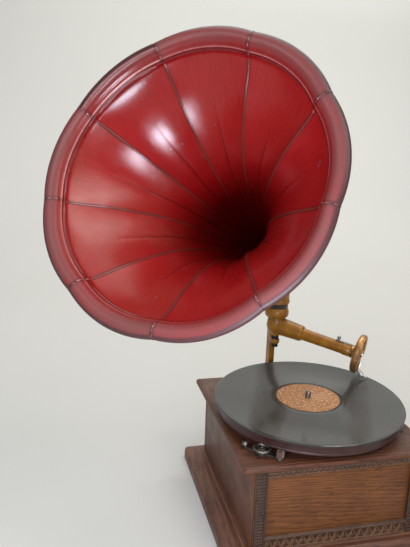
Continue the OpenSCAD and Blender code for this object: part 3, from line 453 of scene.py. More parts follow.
placeCamera()
layFloor()
lightStudio()
print("camera, floor and light are placed")


# effects that several finishes share
def newGroup(name, inputs):
    # an input without a value is a vector, and the others are numbers
    group = bpy.data.node_groups.new(name, "ShaderNodeTree")
    for label, value in inputs.items():
        kind = "NodeSocketVector" if value is None else "NodeSocketFloat"
        socket = group.interface.new_socket(label, in_out="INPUT", socket_type=kind)
        if value is not None:
            socket.default_value = value
    return group, group.nodes.new("NodeGroupInput").outputs


def endGroup(group, values):
    for label in values:
        group.interface.new_socket(label, in_out="OUTPUT", socket_type="NodeSocketFloat")
    end = group.nodes.new("NodeGroupOutput")
    for label, value in values.items():
        group.links.new(value, end.inputs[label])
    return group


def useGroup(tree, group, values):
    return put(tree, "ShaderNodeGroup", {"node_tree": group}, values).outputs


def makeWornEdges():
    # a mask of exposed edges, broken up by noise
    group, given = newGroup("wornEdges", {"Vector": None, "Radius": 0.001, "Breakup": 300.0, "Amount": 0.5})
    bevel = put(group, "ShaderNodeBevel", {"samples": 6}, {"Radius": given["Radius"]})
    geometry = put(group, "ShaderNodeNewGeometry")
    dot = put(group, "ShaderNodeVectorMath", {"operation": "DOT_PRODUCT"},
              {0: bevel.outputs["Normal"], 1: geometry.outputs["Normal"]}).outputs["Value"]
    lifted = timesPlus(group, noise(group, given["Vector"], given["Breakup"], 4.0, 0.7), 0.24, -0.14)
    raised = maths(group, "ADD", maths(group, "SUBTRACT", 1.0, dot), lifted)
    edge = put(group, "ShaderNodeClamp", None, {0: times(group, raised, times(group, given["Amount"], 18.0))})
    return endGroup(group, {"Edge": edge.outputs[0]})


def makeGrain():
    # wood grain that runs along X of the vector it is given
    group, given = newGroup("woodGrain", {"Vector": None, "Rings": 60.0, "Waviness": 4.0})
    long, thin, dash = (mapped(group, given["Vector"], (share, 1.0, 1.0)) for share in (0.10, 0.035, 0.09))
    warp = put(group, "ShaderNodeTexNoise", None,
               {"Vector": long, "Scale": 11.0, "Detail": 2.0, "Distortion": 0.6}).outputs["Color"]
    centred = put(group, "ShaderNodeVectorMath", {"operation": "SUBTRACT"},
                  {0: warp, 1: (0.5, 0.5, 0.5)}).outputs[0]
    swayed = put(group, "ShaderNodeVectorMath", {"operation": "MULTIPLY_ADD"},
                 {0: centred, 1: (0.0, 0.05, 0.05), 2: long}).outputs[0]
    rings = put(group, "ShaderNodeTexWave",
                {"wave_type": "BANDS", "bands_direction": "DIAGONAL", "wave_profile": "SAW"},
                {"Vector": swayed, "Scale": given["Rings"], "Distortion": given["Waviness"],
                 "Detail": 2.0, "Detail Scale": 1.6, "Detail Roughness": 0.5}).outputs["Fac"]
    broad = noise(group, long, 42.0, 4.0)
    return endGroup(group, {
        "Figure": maths(group, "ADD", times(group, rings, 0.55), times(group, broad, 0.5)),
        "Fibre": noise(group, thin, 900.0, 3.0, 0.65),
        "Pores": slope(group, noise(group, dash, 760.0, 1.0), 0.60, 0.70),
    })


def makeGrime():
    # dirt in patches and specks, and dust on faces that look up
    group, given = newGroup("oldGrime", {"Vector": None, "Size": 40.0})
    cloud = noise(group, given["Vector"], given["Size"], 6.0, 0.62)
    dots = noise(group, given["Vector"], times(group, given["Size"], 22.0), 2.0)
    normal = put(group, "ShaderNodeNewGeometry").outputs["Normal"]
    facing = put(group, "ShaderNodeSeparateXYZ", None, {0: normal}).outputs["Z"]
    return endGroup(group, {
        "Patches": slope(group, cloud, 0.42, 0.68),
        "Specks": slope(group, dots, 0.66, 0.74),
        "Dust": times(group, slope(group, facing, 0.5, 1.0), timesPlus(group, cloud, 0.9, 0.1)),
    })


wornEdges = makeWornEdges()
woodGrain = makeGrain()
oldGrime = makeGrime()


def ageing(tree, coords, grimeSize, edgeRadius, breakup, amount):
    grime = useGroup(tree, oldGrime, {"Vector": coords, "Size": grimeSize})
    edges = useGroup(tree, wornEdges,
                     {"Vector": coords, "Radius": edgeRadius, "Breakup": breakup, "Amount": amount})
    return grime, edges["Edge"]


# finishes
alongX, alongY, alongZ = (0, 0, 0), (0, 0, math.pi / 2), (0, math.pi / 2, 0)
woodTones = {  # light, dark and deep
    "panel": ((0.215, 0.074, 0.019), (0.120, 0.037, 0.010), (0.042, 0.014, 0.006)),
    "case": ((0.17, 0.062, 0.034), (0.085, 0.030, 0.018), (0.03, 0.012, 0.008)),
    "board": ((0.150, 0.052, 0.024), (0.070, 0.024, 0.013), (0.022, 0.009, 0.006)),
    "plinth": ((0.19, 0.078, 0.045), (0.10, 0.038, 0.024), (0.035, 0.014, 0.009)),
    "carving": ((0.092, 0.042, 0.024), (0.040, 0.017, 0.010), (0.012, 0.006, 0.004)),
    "stiles": ((0.046, 0.022, 0.015), (0.040, 0.020, 0.013), (0.010, 0.005, 0.004)),
    "knob": ((0.12, 0.045, 0.025), (0.06, 0.022, 0.013), (0.02, 0.01, 0.006)),
}


def stainedWood(name, tones, grain, rings=60.0, waviness=4.0, edge=0.5, roughness=0.42,
                edgeColour=(0.34, 0.17, 0.09)):
    light, dark, deep = woodTones[tones]
    material, tree, coords = newMaterial(name, grain)
    wood = useGroup(tree, woodGrain, {"Vector": coords, "Rings": rings, "Waviness": waviness})
    grime, edges = ageing(tree, coords, 26.0, 0.0016, 420.0, edge)
    middle = tuple((a + b) / 2 for a, b in zip(light, dark))
    base = ramp(tree, wood["Figure"], [(0.18, dark), (0.5, middle), (0.82, light)])
    streak = ramp(tree, wood["Fibre"], [(0.34, (0.45, 0.45, 0.45)), (0.60, (1, 1, 1))])
    colour = layered(tree, mixColour(tree, 0.75, base, streak, "MULTIPLY"), (deep, wood["Pores"], 0.75),
                     (deep, grime["Patches"], 0.35), (edgeColour, edges, 0.6))
    rough = timesPlus(tree, grime["Patches"], 0.14, timesPlus(tree, wood["Fibre"], 0.22, roughness - 0.08))
    height = maths(tree, "SUBTRACT", times(tree, wood["Fibre"], 0.5), times(tree, wood["Pores"], 0.9))
    finishMaterial(tree, {"Base Color": colour, "Roughness": rough, "Specular IOR Level": 0.32,
                          "Coat Weight": 0.08, "Coat Roughness": 0.28}, (0.32, 0.0004, height))
    return material


def metalFinish(name, colour, worn, roughness, metallic=1.0, grimeColour=(0.03, 0.022, 0.016),
                grimeAmount=0.6):
    material, tree, coords = newMaterial(name)
    grime, edges = ageing(tree, coords, 90.0, 0.0007, 700.0, 0.5)
    scratches = noise(tree, mapped(tree, coords, (1.0, 0.06, 1.0), (0.3, 0.2, 0.6)), 1500.0, 2.0)
    scratchDepth = 0.25
    mixed = layered(tree, colour, (grimeColour, grime["Patches"], grimeAmount), (worn, edges, 0.7))
    rough = timesPlus(tree, scratches, scratchDepth, roughness - scratchDepth / 2)
    rough = timesPlus(tree, grime["Patches"], 0.22, rough)
    finishMaterial(tree, {"Base Color": mixed, "Metallic": metallic, "Roughness": rough},
                   (0.15, 0.0001, scratches))
    return material


def ochreEnamel():
    # thick ochre paint, browned by handling and rubbed through on the edges
    material, tree, coords = newMaterial("ochreEnamel")
    grime, edges = ageing(tree, coords, 55.0, 0.0016, 520.0, 0.55)
    tone = noise(tree, coords, 38.0, 5.0)
    base = ramp(tree, tone, [
        (0.30, (0.18, 0.068, 0.002)), (0.5, (0.29, 0.120, 0.004)), (0.7, (0.37, 0.165, 0.007))])
    colour = layered(tree, base, ((0.110, 0.036, 0.010), grime["Patches"], 0.55),
                     ((0.05, 0.025, 0.012), grime["Specks"], 0.7), ((0.09, 0.05, 0.035), edges, 0.75))
    rough = timesPlus(tree, edges, 0.2, timesPlus(tree, grime["Patches"], 0.2, 0.3))
    height = maths(tree, "SUBTRACT", times(tree, tone, 0.6), edges)
    finishMaterial(tree, {"Base Color": colour, "Roughness": rough, "Specular IOR Level": 0.30,
                          "Coat Weight": 0.14, "Coat Roughness": 0.2}, (0.25, 0.0004, height))
    return material


lacquer = {
    "reds": ((0.25, (0.185, 0.0022, 0.0040)), (0.5, (0.270, 0.0045, 0.0065)), (0.78, (0.330, 0.010, 0.012))),
    # brownish haze, partly worn lacquer and partly a painted reflection of the room
    "brownWearAndSheen": (0.205, 0.060, 0.032),
    # painted shade deep in the throat of the horn
    "throatShade": (0.150, 0.0003, 0.001),
    # the rim's mauve brown is partly hazy lacquer and partly a painted reflection of the pale room
    "rim": (0.118, 0.040, 0.039),
    # painted highlight along the bead at the crease
    "beadHighlight": (0.62, 0.40, 0.38),
    # painted shade in the step inside the bead and in a line outside it
    "creaseShade": (0.075, 0.004, 0.006),
    # painted shade in the pleats and beside the lapped seams
    "foldShade": (0.050, 0.006, 0.006),
    "bareSeam": (0.080, 0.034, 0.028),
    "seamFlecks": (0.50, 0.33, 0.30),
    # dark edge: the rubbed wire, with painted shade on the rolled-back lip
    "lipWearAndShade": (0.048, 0.016, 0.017),
    "chips": (0.10, 0.065, 0.055),
}


def hornEnamel(name, seam=False):
    # red lacquer on sheet steel: hazy on the rim with a painted reflection, streaked along the petals, with a
    # painted highlight on the crease's bead and painted shade beside it, in the pleats and down the throat,
    # and chipped
    material, tree, coords = newMaterial(name)
    # the mesh tells petals across, share of the length, mm from the crease, brownness (partly worn haze and
    # partly a painted reflection) and dullness
    across, along, crease, wear, dull = (
        put(tree, "ShaderNodeAttribute", {"attribute_name": key}).outputs["Fac"]
        for key in ("across", "along", "crease", "wear", "dull"))
    streakVector = put(tree, "ShaderNodeCombineXYZ", None,
                       {"X": times(tree, across, 26.0), "Y": times(tree, along, 7.0)}).outputs[0]
    streaks = noise(tree, streakVector, 2.2, 6.0, 0.7, 0.5)
    haze = slope(tree, noise(tree, coords, 16.0, 6.0, 0.62), 0.30, 0.80)
    # the lacquer turns brownish in clouds, partly worn haze and partly a painted reflection of the room, and
    # the throat gets painted shade
    worn = times(tree, wear, haze)
    # painted shade: the red darkens down the throat, where shade falls
    throatShade = slope(tree, along, 0.30, 0.58)
    colour = mixColour(tree, timesPlus(tree, worn, 0.42, 0.02), ramp(tree, streaks, lacquer["reds"]),
                       lacquer["brownWearAndSheen"])
    # the outer half of the rim is a dull mauve brown, partly hazy lacquer and partly a painted reflection of
    # the pale room
    outer = span(tree, crease, -60.0, -9.0, 5.0)
    # a painted highlight on the bead on the glossy petals, and painted shade on both sides of it
    bead = times(tree, span(tree, crease, -5.3, -3.9, 0.5), maths(tree, "SUBTRACT", 1.0, dull))
    beadGlintBreakup = slope(tree, streaks, 0.36, 0.62)
    # painted shade: dark lines in the step and groove on both sides of the bead
    creaseShadeMask = maths(tree, "MAXIMUM", span(tree, crease, -3.4, 0.2, 0.6), span(tree, crease, -6.6, -6.1, 0.4))
    colour = layered(tree, colour, (lacquer["throatShade"], throatShade, 0.85),
                     (lacquer["rim"], outer, timesPlus(tree, haze, 0.40, 0.48)),
                     (lacquer["beadHighlight"], bead, timesPlus(tree, beadGlintBreakup, 0.45, 0.45)),
                     (lacquer["creaseShade"], creaseShadeMask, 0.66))
    if seam:
        # a seam is worn bare in the bell, and flecked on the rim
        bell = slope(tree, crease, 2.0, 6.0)
        bare = times(tree, bell, slope(tree, along, 0.75, 0.35))
        flecks = times(tree, maths(tree, "SUBTRACT", 1.0, bell),
                       slope(tree, noise(tree, coords, 300.0, 2.0), 0.50, 0.66))
        colour = layered(tree, colour, (lacquer["bareSeam"], bare, timesPlus(tree, haze, 0.35, 0.55)),
                         (lacquer["seamFlecks"], flecks, 0.7))
    else:
        # painted shade: dark lines in the pleats and beside the lapped seams
        off = maths(tree, "ABSOLUTE", maths(tree, "SUBTRACT", maths(tree, "FRACT", across), 0.5))
        pleat = times(tree, slope(tree, off, 0.022, 0.004), slope(tree, along, 0.26, 0.36))
        seamShadow = times(tree, slope(tree, off, 0.462, 0.492), timesPlus(tree, streaks, 0.7, 0.30))
        foldShadeMask = maths(tree, "MAXIMUM", times(tree, pleat, 0.75), seamShadow)
        colour = mixColour(tree, foldShadeMask, colour, lacquer["foldShade"])
    # the very edge is a dark brown line, the rubbed edge with painted shade on the rolled-back lip, and it is
    # wider on the glossy petals
    edge = timesPlus(tree, slope(tree, dull, 0.40, 0.0), -4.0, crease)
    # small chips through to dull steel
    chipArea = times(tree, noise(tree, coords, 22.0, 2.0), 0.55)
    chips = slope(tree, maths(tree, "ADD", noise(tree, coords, 190.0, 3.0, 0.6), chipArea), 1.03, 1.06)
    chips = times(tree, chips, maths(tree, "SUBTRACT", 1.0, throatShade))
    colour = layered(tree, colour, (lacquer["lipWearAndShade"], slope(tree, edge, -22.8, -24.6), 0.92),
                     (lacquer["chips"], chips, 0.8))
    rim = times(tree, slope(tree, crease, -1.0, -3.0), dull)
    rough = timesPlus(tree, rim, 0.36, timesPlus(tree, worn, 0.26, 0.15))
    rough = timesPlus(tree, chips, 0.25, rough)
    # fine wrinkles and long ripples in the sheet catch the light in streaks
    wrinkles = noise(tree, coords, 120.0, 5.0, 0.7)
    height = maths(tree, "ADD", times(tree, wrinkles, 0.55), times(tree, streaks, 0.9))
    finishMaterial(tree, {"Base Color": colour, "Roughness": rough, "Specular IOR Level": 0.42,
                          "Coat Weight": 0.04, "Coat Roughness": 0.09},
                   (0.30, 0.0006, maths(tree, "SUBTRACT", height, chips)))
    return material


grooves = {  # in metres, as the finish measures them
    "inner": 0.050,
    "outer": 0.122,
    "soft": 0.0005,
    "pitch": 0.0009,
}


def flatRadius(tree, coords):
    flat = mapped(tree, coords, (1, 1, 0))
    return flat, put(tree, "ShaderNodeVectorMath", {"operation": "LENGTH"}, {0: flat}).outputs["Value"]


def recordShellac():
    # grooved shellac: fine rings with slightly duller and brighter bands
    material, tree, coords = newMaterial("recordShellac")
    radius = flatRadius(tree, coords)[1]
    bandVector = put(tree, "ShaderNodeCombineXYZ", None, {"X": times(tree, radius, 1000.0)}).outputs[0]
    bands = noise(tree, bandVector, 0.42, 5.0, 0.7)
    waves = maths(tree, "SINE", times(tree, radius, 2 * math.pi / grooves["pitch"]))
    grooved = span(tree, radius, grooves["inner"], grooves["outer"], grooves["soft"])
    grime = useGroup(tree, oldGrime, {"Vector": coords, "Size": 18.0})
    base = ramp(tree, bands, [(0.3, (0.020, 0.021, 0.021)), (0.7, (0.036, 0.037, 0.036))])
    colour = layered(tree, base, ((0.16, 0.155, 0.145), grime["Dust"], 0.20))
    rough = timesPlus(tree, grooved, 0.02, timesPlus(tree, bands, 0.05, 0.055))
    finishMaterial(tree, {"Base Color": colour, "Roughness": rough, "Specular IOR Level": 0.46},
                   (0.35, 0.00006, times(tree, waves, grooved)))
    return material


labelDesign = {  # in metres, as the finish measures them
    "rings": ((0.0405, 0.0412, 0.0003), (0.0392, 0.0395, 0.00015)),
    "panelX": (0.006, 0.030),
    "panelY": (-0.012, 0.007),
    "panelSoft": 0.0003,
    "bars": (0.0046, -0.15),  # pitch, and the level of the wave above which there is ink
    "strokes": (0.0037, -0.72),
}


def labelPaper():
    # generic speckled gold-brown label with rings and plain bars
    material, tree, coords = newMaterial("labelPaper")
    flat, radius = flatRadius(tree, coords)
    speck = put(tree, "ShaderNodeTexVoronoi", {"feature": "F1"},
                {"Vector": flat, "Scale": 330.0, "Randomness": 1.0}).outputs["Distance"]
    cloud = noise(tree, flat, 260.0, 4.0, 0.75)
    base = ramp(tree, cloud, [
        (0.36, (0.15, 0.050, 0.012)), (0.50, (0.31, 0.125, 0.036)), (0.64, (0.54, 0.34, 0.17))])
    grime = useGroup(tree, oldGrime, {"Vector": coords, "Size": 60.0})
    x, y = put(tree, "ShaderNodeSeparateXYZ", None, {0: coords}).outputs[:2]
    soft = labelDesign["panelSoft"]
    ring = maths(tree, "MAXIMUM", *(span(tree, radius, *band) for band in labelDesign["rings"]))
    panel = times(tree, span(tree, x, *labelDesign["panelX"], soft),
                  span(tree, y, *labelDesign["panelY"], soft))
    bars, strokes = (
        maths(tree, "GREATER_THAN", maths(tree, "SINE", times(tree, way, 2 * math.pi / pitch)), level)
        for way, (pitch, level) in ((y, labelDesign["bars"]), (x, labelDesign["strokes"])))
    ink = times(tree, panel, times(tree, bars, strokes))
    colour = layered(tree, base, ((0.74, 0.56, 0.36), slope(tree, speck, 0.30, 0.18), 0.35),
                     ((0.22, 0.09, 0.04), grime["Patches"], 0.25), ((0.20, 0.075, 0.028), panel, 0.45),
                     ((0.52, 0.30, 0.15), ink, 0.75), ((0.20, 0.07, 0.03), ring, 0.7))
    finishMaterial(tree, {"Base Color": colour, "Roughness": 0.62}, (0.12, 0.0001, cloud))
    return material


def feltFinish(name, colour):
    material, tree, coords = newMaterial(name)
    fuzz = noise(tree, coords, 1400.0, 4.0, 0.8)
    shade = ramp(tree, fuzz, [(0.3, shaded(colour, 0.5)), (0.7, shaded(colour, 1.5))])
    worn = ramp(tree, noise(tree, coords, 60.0, 3.0), [(0.35, (0.7, 0.7, 0.7)), (0.7, (1, 1, 1))])
    finishMaterial(tree, {"Base Color": mixColour(tree, 0.8, shade, worn, "MULTIPLY"), "Roughness": 0.95,
                          "Sheen Weight": 0.3}, (0.5, 0.0003, fuzz))
    return material


def paintFinish(name, colour, worn, roughness):
    material, tree, coords = newMaterial(name)
    grime, edges = ageing(tree, coords, 40.0, 0.0012, 500.0, 0.5)
    tone = noise(tree, coords, 70.0, 4.0)
    base = ramp(tree, tone, [(0.3, shaded(colour, 0.75)), (0.7, shaded(colour, 1.2))])
    mixed = layered(tree, base, ((0.03, 0.02, 0.015), grime["Patches"], 0.3), (worn, edges, 0.7))
    rough = timesPlus(tree, grime["Patches"], 0.2, roughness)
    finishMaterial(tree, {"Base Color": mixed, "Roughness": rough}, (0.2, 0.0002, tone))
    return material


panelWood = stainedWood("panelWood", "panel", alongX, rings=110.0, waviness=2.0, edge=0.3)
caseWoodX = stainedWood("caseWoodAcross", "case", alongX)
caseWoodY = stainedWood("caseWoodDeep", "case", alongY)
boardWood = stainedWood("boardWood", "board", alongX, rings=70.0, roughness=0.38,
                        edgeColour=(0.26, 0.12, 0.07))
plinthWoodX = stainedWood("plinthWoodAcross", "plinth", alongX)
plinthWoodY = stainedWood("plinthWoodDeep", "plinth", alongY)
carvedWood = stainedWood("carvedWood", "carving", alongX, edge=0.9, roughness=0.5,
                         edgeColour=(0.34, 0.17, 0.085))
carvedStileWood = stainedWood("carvedStileWood", "stiles", alongZ, edge=0.9, roughness=0.5,
                              edgeColour=(0.20, 0.105, 0.065))
knobWood = stainedWood("knobWood", "knob", alongX, roughness=0.3)
ochre = ochreEnamel()
redEnamel = hornEnamel("redEnamel")
seamEnamel = hornEnamel("seamEnamel", True)
shellac = recordShellac()
speckledPaper = labelPaper()
matFelt = feltFinish("matFelt", (0.045, 0.040, 0.036))
gasketLeather = feltFinish("gasketLeather", (0.030, 0.018, 0.013))
padLeather = feltFinish("padLeather", (0.11, 0.05, 0.025))
platterPaint = paintFinish("platterPaint", (0.034, 0.008, 0.006), (0.08, 0.03, 0.02), 0.35)
motorPaint = paintFinish("motorPaint", (0.10, 0.105, 0.11), (0.35, 0.34, 0.33), 0.5)
fibreFinish = paintFinish("wheelFibre", (0.30, 0.17, 0.08), (0.4, 0.27, 0.15), 0.6)
darkNickel = metalFinish("darkNickel", (0.24, 0.215, 0.19), (0.55, 0.50, 0.45), 0.34)
brightNickel = metalFinish("brightNickel", (0.62, 0.58, 0.53), (0.8, 0.77, 0.72), 0.22, grimeAmount=0.35)
steelFinish = metalFinish("oiledSteel", (0.36, 0.35, 0.34), (0.6, 0.58, 0.56), 0.36)
blackSteel = metalFinish("blackedSteel", (0.055, 0.042, 0.036), (0.30, 0.26, 0.22), 0.42)
brassFinish = metalFinish("oldBrass", (0.55, 0.36, 0.13), (0.75, 0.58, 0.30), 0.34,
                          grimeColour=(0.12, 0.06, 0.02))
boxBrass = metalFinish("soundboxBrass", (0.42, 0.215, 0.075), (0.66, 0.42, 0.22), 0.32, metallic=0.75,
                       grimeColour=(0.10, 0.045, 0.018), grimeAmount=0.7)
micaFinish = metalFinish("agedMica", (0.33, 0.185, 0.085), (0.5, 0.34, 0.2), 0.3, metallic=0.2,
                         grimeColour=(0.10, 0.05, 0.025))
print("finishes are made")


horn = {
    "petals": 9,
    "length": 360,  # from where its axis crosses the swivel's to the mouth
    "azimuth": 39.1,
    "tilt": 24.8,
    "crossing": 312,  # height of the point where the axes cross
    "seamAngle": 33.9,
    "sheet": 1.0,
    "across": 26,
    "bandLength": 46,  # stretch of the section with close rings, over the rim and its crease
    "bandRings": 56,
    "bellRings": 96,
    "creaseRadius": 138.4,
    "beads": ((0.35, 0.0, 1.0), (1.0, -4.6, 1.15)),  # height, distance from the crease and half width
    "pleat": 1.5,
    "pleatWidth": 0.035,
    "pleatStart": 40,  # depth behind the mouth
    "pleatGrowth": 70,
    "pleatEnd": 34,  # radius below which the pleats fade
    "petalLean": 0.3,
    "ribHalf": 1.35,
    "ribHeight": 0.9,
    # the brownness of each petal is partly worn haze and partly a painted reflection of the room
    "wear": (0.30, 0.45, 0.20, 0.75, 0.90, 0.65, 0.25, 0.30, 0.10),  # brownness of each petal
    "dull": (0.55, 0.60, 0.00, 0.45, 0.70, 0.90, 1.00, 0.75, 0.75),  # dullness of each petal's rim
    "turnUp": (0.3, 0.3, 1.9, 0.5, 0.6, 0.3, 0.2, 0.3, 0.3),  # how much each petal turns up at its crease
    "turnUpBell": 9,  # how soon that fades down the bell, and up the rim
    "turnUpRim": 2.5,
    "ribSpread": 90,  # radius from which a rib has its full width, less its narrowest share
    "ribNarrow": 0.35,
}
# section at a seam: radius, depth behind the mouth, bulge at mid petal; it starts in the rolled edge
hornSection = [
    (154.9, -1.3, 3.0), (154.4, 1.1, 3.0), (156.3, 2.4, 3.0), (158.0, 0.0, 3.0), (157.4, -2.8, 3.0),
    (154.5, -4.9, 3.0), (150.5, -5.7, 2.8), (146.0, -4.8, 2.6), (142.3, -2.0, 2.4), (140.2, 2.6, 2.3),
    (138.2, 8.2, 2.2), (136.0, 13.0, 2.2), (125.0, 24.5, 3.2), (110.0, 38.0, 4.2), (97.0, 52.0, 4.4),
    (84.0, 68.0, 4.2), (72.5, 84.0, 3.8), (62.0, 101.0, 3.4), (53.4, 120.0, 2.9), (46.0, 140.0, 2.4),
    (39.6, 162.0, 1.9), (34.0, 185.0, 1.5), (27.0, 220.0, 1.0), (22.5, 255.0, 0.7), (19.5, 290.0, 0.5),
    (18.3, 319.7, 0.5),
]
ribSection = [(-1.0, -1.5), (-1.0, 0.1), (-0.72, 0.72), (-0.1, 1.0), (0.55, 0.8), (1.0, 0.1), (1.0, -1.5)]
hornTurn = (Matrix.Translation((0, joints["horn_swivel"]["pos_m"][1], 0))
            @ Matrix.Rotation(math.radians(-horn["azimuth"]), 4, "Z"))
hornPlace = (hornTurn @ Matrix.Translation((0, 0, horn["crossing"] * mm))
             @ Matrix.Rotation(math.radians(90 - horn["tilt"]), 4, "X"))


def held(value):
    return max(0.0, min(1.0, value))


def distances(line):
    # how far each point lies along a line of (radius, depth) points
    return np.concatenate([[0], np.cumsum(np.hypot(np.diff(line[:, 0]), np.diff(line[:, 1])))])


def sectionCurve():
    # a smooth curve through the section's points, with closer rings on the rim and its crease
    points = np.array(hornSection)
    dense = []
    last = len(points) - 1
    for i in range(last):
        p0, p1, p2, p3 = (points[max(0, min(last, i + k))] for k in (-1, 0, 1, 2))
        for t in np.linspace(0, 1, 24, endpoint=False):
            dense.append(0.5 * ((2 * p1) + (p2 - p0) * t + (2 * p0 - 5 * p1 + 4 * p2 - p3) * t * t
                                + (3 * p1 - p0 - 3 * p2 + p3) * t ** 3))
    dense = np.array(dense + [points[-1]])
    run = distances(dense)
    bandEnd = horn["bandLength"]
    bell = np.linspace(0, 1, horn["bellRings"]) ** 1.2
    places = np.concatenate([np.linspace(0, bandEnd, horn["bandRings"], endpoint=False),
                             bandEnd + (run[-1] - bandEnd) * bell])
    rings = np.stack([np.interp(places, run, dense[:, k]) for k in range(3)], axis=1)
    return rings, places / run[-1]


def sectionNormals(rings):
    way = np.gradient(rings[:, :2], axis=0)
    way /= np.linalg.norm(way, axis=1)[:, None]
    return np.stack([way[:, 1], -way[:, 0]], axis=1)


def creaseDistances(rings, along):
    # how far each ring lies from the crease along the sheet, less than 0 on the rim
    behind = (rings[:, 0] < horn["creaseRadius"]) & (rings[:, 1] > -3) & (along > 0.03)
    run = distances(rings)
    return run - run[np.argmax(behind)]


def ringLift(away):
    # how far the sheet stands up around the crease: its beads, and the share of a petal's turned-up edge
    bead = sum(height * math.exp(-((away - at) / half) ** 2) for height, at, half in horn["beads"])
    faded = -away / horn["turnUpBell"] if away > 0 else (away + 4.6) / horn["turnUpRim"] - 0.5
    return bead, math.exp(faded)


def buildPetals():
    rings, along = sectionCurve()
    normals = sectionNormals(rings)
    fromCrease = creaseDistances(rings, along)
    spread = np.linspace(-1, 1, horn["across"] + 1)
    columns = 0.5 + 0.5 * np.sign(spread) * np.abs(spread) ** 1.5  # closest at the pleat in the middle
    wide, tall = len(columns), len(rings)
    points, faces = [], []
    values = {key: [] for key in ("across", "along", "crease", "wear", "dull")}
    for k in range(horn["petals"]):
        for side in (0, 1):
            base = len(points)
            for i, (radius, depth, bulge) in enumerate(rings):
                bead, turned = ringLift(fromCrease[i])
                grown = held((depth - horn["pleatStart"]) / horn["pleatGrowth"])
                pleat = horn["pleat"] * grown * min(1.0, radius / horn["pleatEnd"])
                for u in columns:
                    arch = 4 * u * (1 - u)
                    lift = bulge * arch - pleat * math.exp(-abs(u - 0.5) / horn["pleatWidth"])
                    thick = horn["sheet"] * side - bead - horn["turnUp"][k] * turned * arch
                    r = radius + lift + normals[i][0] * thick
                    z = horn["length"] - depth - horn["petalLean"] * lift - normals[i][1] * thick
                    angle = math.radians(horn["seamAngle"] + 360 / horn["petals"] * (k + u))
                    points.append((r * math.cos(angle), r * math.sin(angle), z))
                    told = (k + u, along[i], fromCrease[i], horn["wear"][k], horn["dull"][k])
                    for key, value in zip(values, told):
                        values[key].append(value)
            quads = gridFaces(tall, wide, base, flipped=True)
            faces += quads if side == 0 else [quad[::-1] for quad in quads]
        # the edges between the two sides of the sheet
        inner = base - tall * wide
        for i in (0, tall - 1):
            for j in range(wide - 1):
                a, b = inner + i * wide + j, base + i * wide + j
                quad = (a, a + 1, b + 1, b)
                faces.append(quad if i == 0 else quad[::-1])
        for j in (0, wide - 1):
            for i in range(tall - 1):
                a, b = inner + i * wide + j, base + i * wide + j
                quad = (a, b, b + wide, a + wide)
                faces.append(quad if j == 0 else quad[::-1])
    mesh = meshOf("hornPetals", points, faces)
    mesh.transform(hornPlace)
    writeValues(mesh, values)
    smoothByAngle(mesh, 50)
    placeMesh("hornPetals", mesh, redEnamel, "horn", "horn_petals")
    return rings, along, normals, fromCrease


def seamRib(rings, along, normals, fromCrease):
    # one folded rib along a seam: a fine welt on the rim and a flat rib in the bell
    keep = [i for i in range(3, len(rings)) if along[i] < 0.93]
    points, values = [], {"along": [], "crease": []}
    for i in keep:
        share = held((fromCrease[i] + 1) / 4)
        spread = min(1.0, horn["ribNarrow"] + rings[i][0] / horn["ribSpread"])
        half = horn["ribHalf"] * (0.42 + 0.58 * share) * spread
        for s, h in ribSection:
            reach = h * horn["ribHeight"] * (0.5 + 0.5 * share)
            points.append((rings[i][0] - normals[i][0] * reach, s * half,
                           horn["length"] - rings[i][1] + normals[i][1] * reach))
            values["along"].append(along[i])
            values["crease"].append(fromCrease[i])
    count = len(ribSection)
    caps = [tuple(range(count)), tuple(range(len(points) - count, len(points)))[::-1]]
    mesh = meshOf("hornSeamRib", points, gridFaces(len(keep), count, closed=True) + caps)
    with editing(mesh) as shape:
        bmesh.ops.recalc_face_normals(shape, faces=shape.faces)
    writeValues(mesh, values)
    smoothByAngle(mesh, 50)
    return mesh


def buildSeams(rings, along, normals, fromCrease):
    piece = newPiece("hornSeams", seamRib(rings, along, normals, fromCrease))
    tree, ids, given = newRowTree("seamRibs", {"petals": "Int", "firstAngle": "Float"})
    stamp = put(tree, "GeometryNodeGeometryToInstance", None, {"Geometry": given["Geometry"]})
    copies = put(tree, "GeometryNodeDuplicateElements", {"domain": "INSTANCE"},
                 {"Geometry": stamp.outputs["Instances"], "Amount": given["petals"]})
    step = maths(tree, "DIVIDE", 2 * math.pi, given["petals"])
    angle = timesPlus(tree, copies.outputs["Duplicate Index"], step, given["firstAngle"])
    turn = put(tree, "ShaderNodeCombineXYZ", None, {"Z": angle}).outputs[0]
    spun = put(tree, "GeometryNodeRotateInstances", None,
               {"Instances": copies.outputs["Geometry"], "Rotation": turn, "Local Space": False})
    real = put(tree, "GeometryNodeRealizeInstances", None, {"Geometry": spun.outputs["Instances"]})
    endRowTree(tree, real.outputs["Geometry"], seamEnamel)
    sizes = {"petals": horn["petals"], "firstAngle": math.radians(horn["seamAngle"])}
    grow(piece, tree, ids, sizes, seamEnamel).transform(hornPlace)
    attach(piece, "horn")
    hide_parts("horn_seams")


elbow = {
    "bendRadius": 60,
    "bendSteps": 24,
    "tubeRadius": 17.9,
    "wall": 1.3,
    "segments": 64,
    "ferrule": ((0, 18.0), (0.5, 18.5), (4.5, 18.5), (5.2, 17.9), (9, 17.9)),  # height, radius
    "sleeve": ((0.1, 21.6), (0.8, 22.2), (12.8, 22.2), (13.5, 21.7), (13.6, 20.9), (10.0, 20.8)),
}


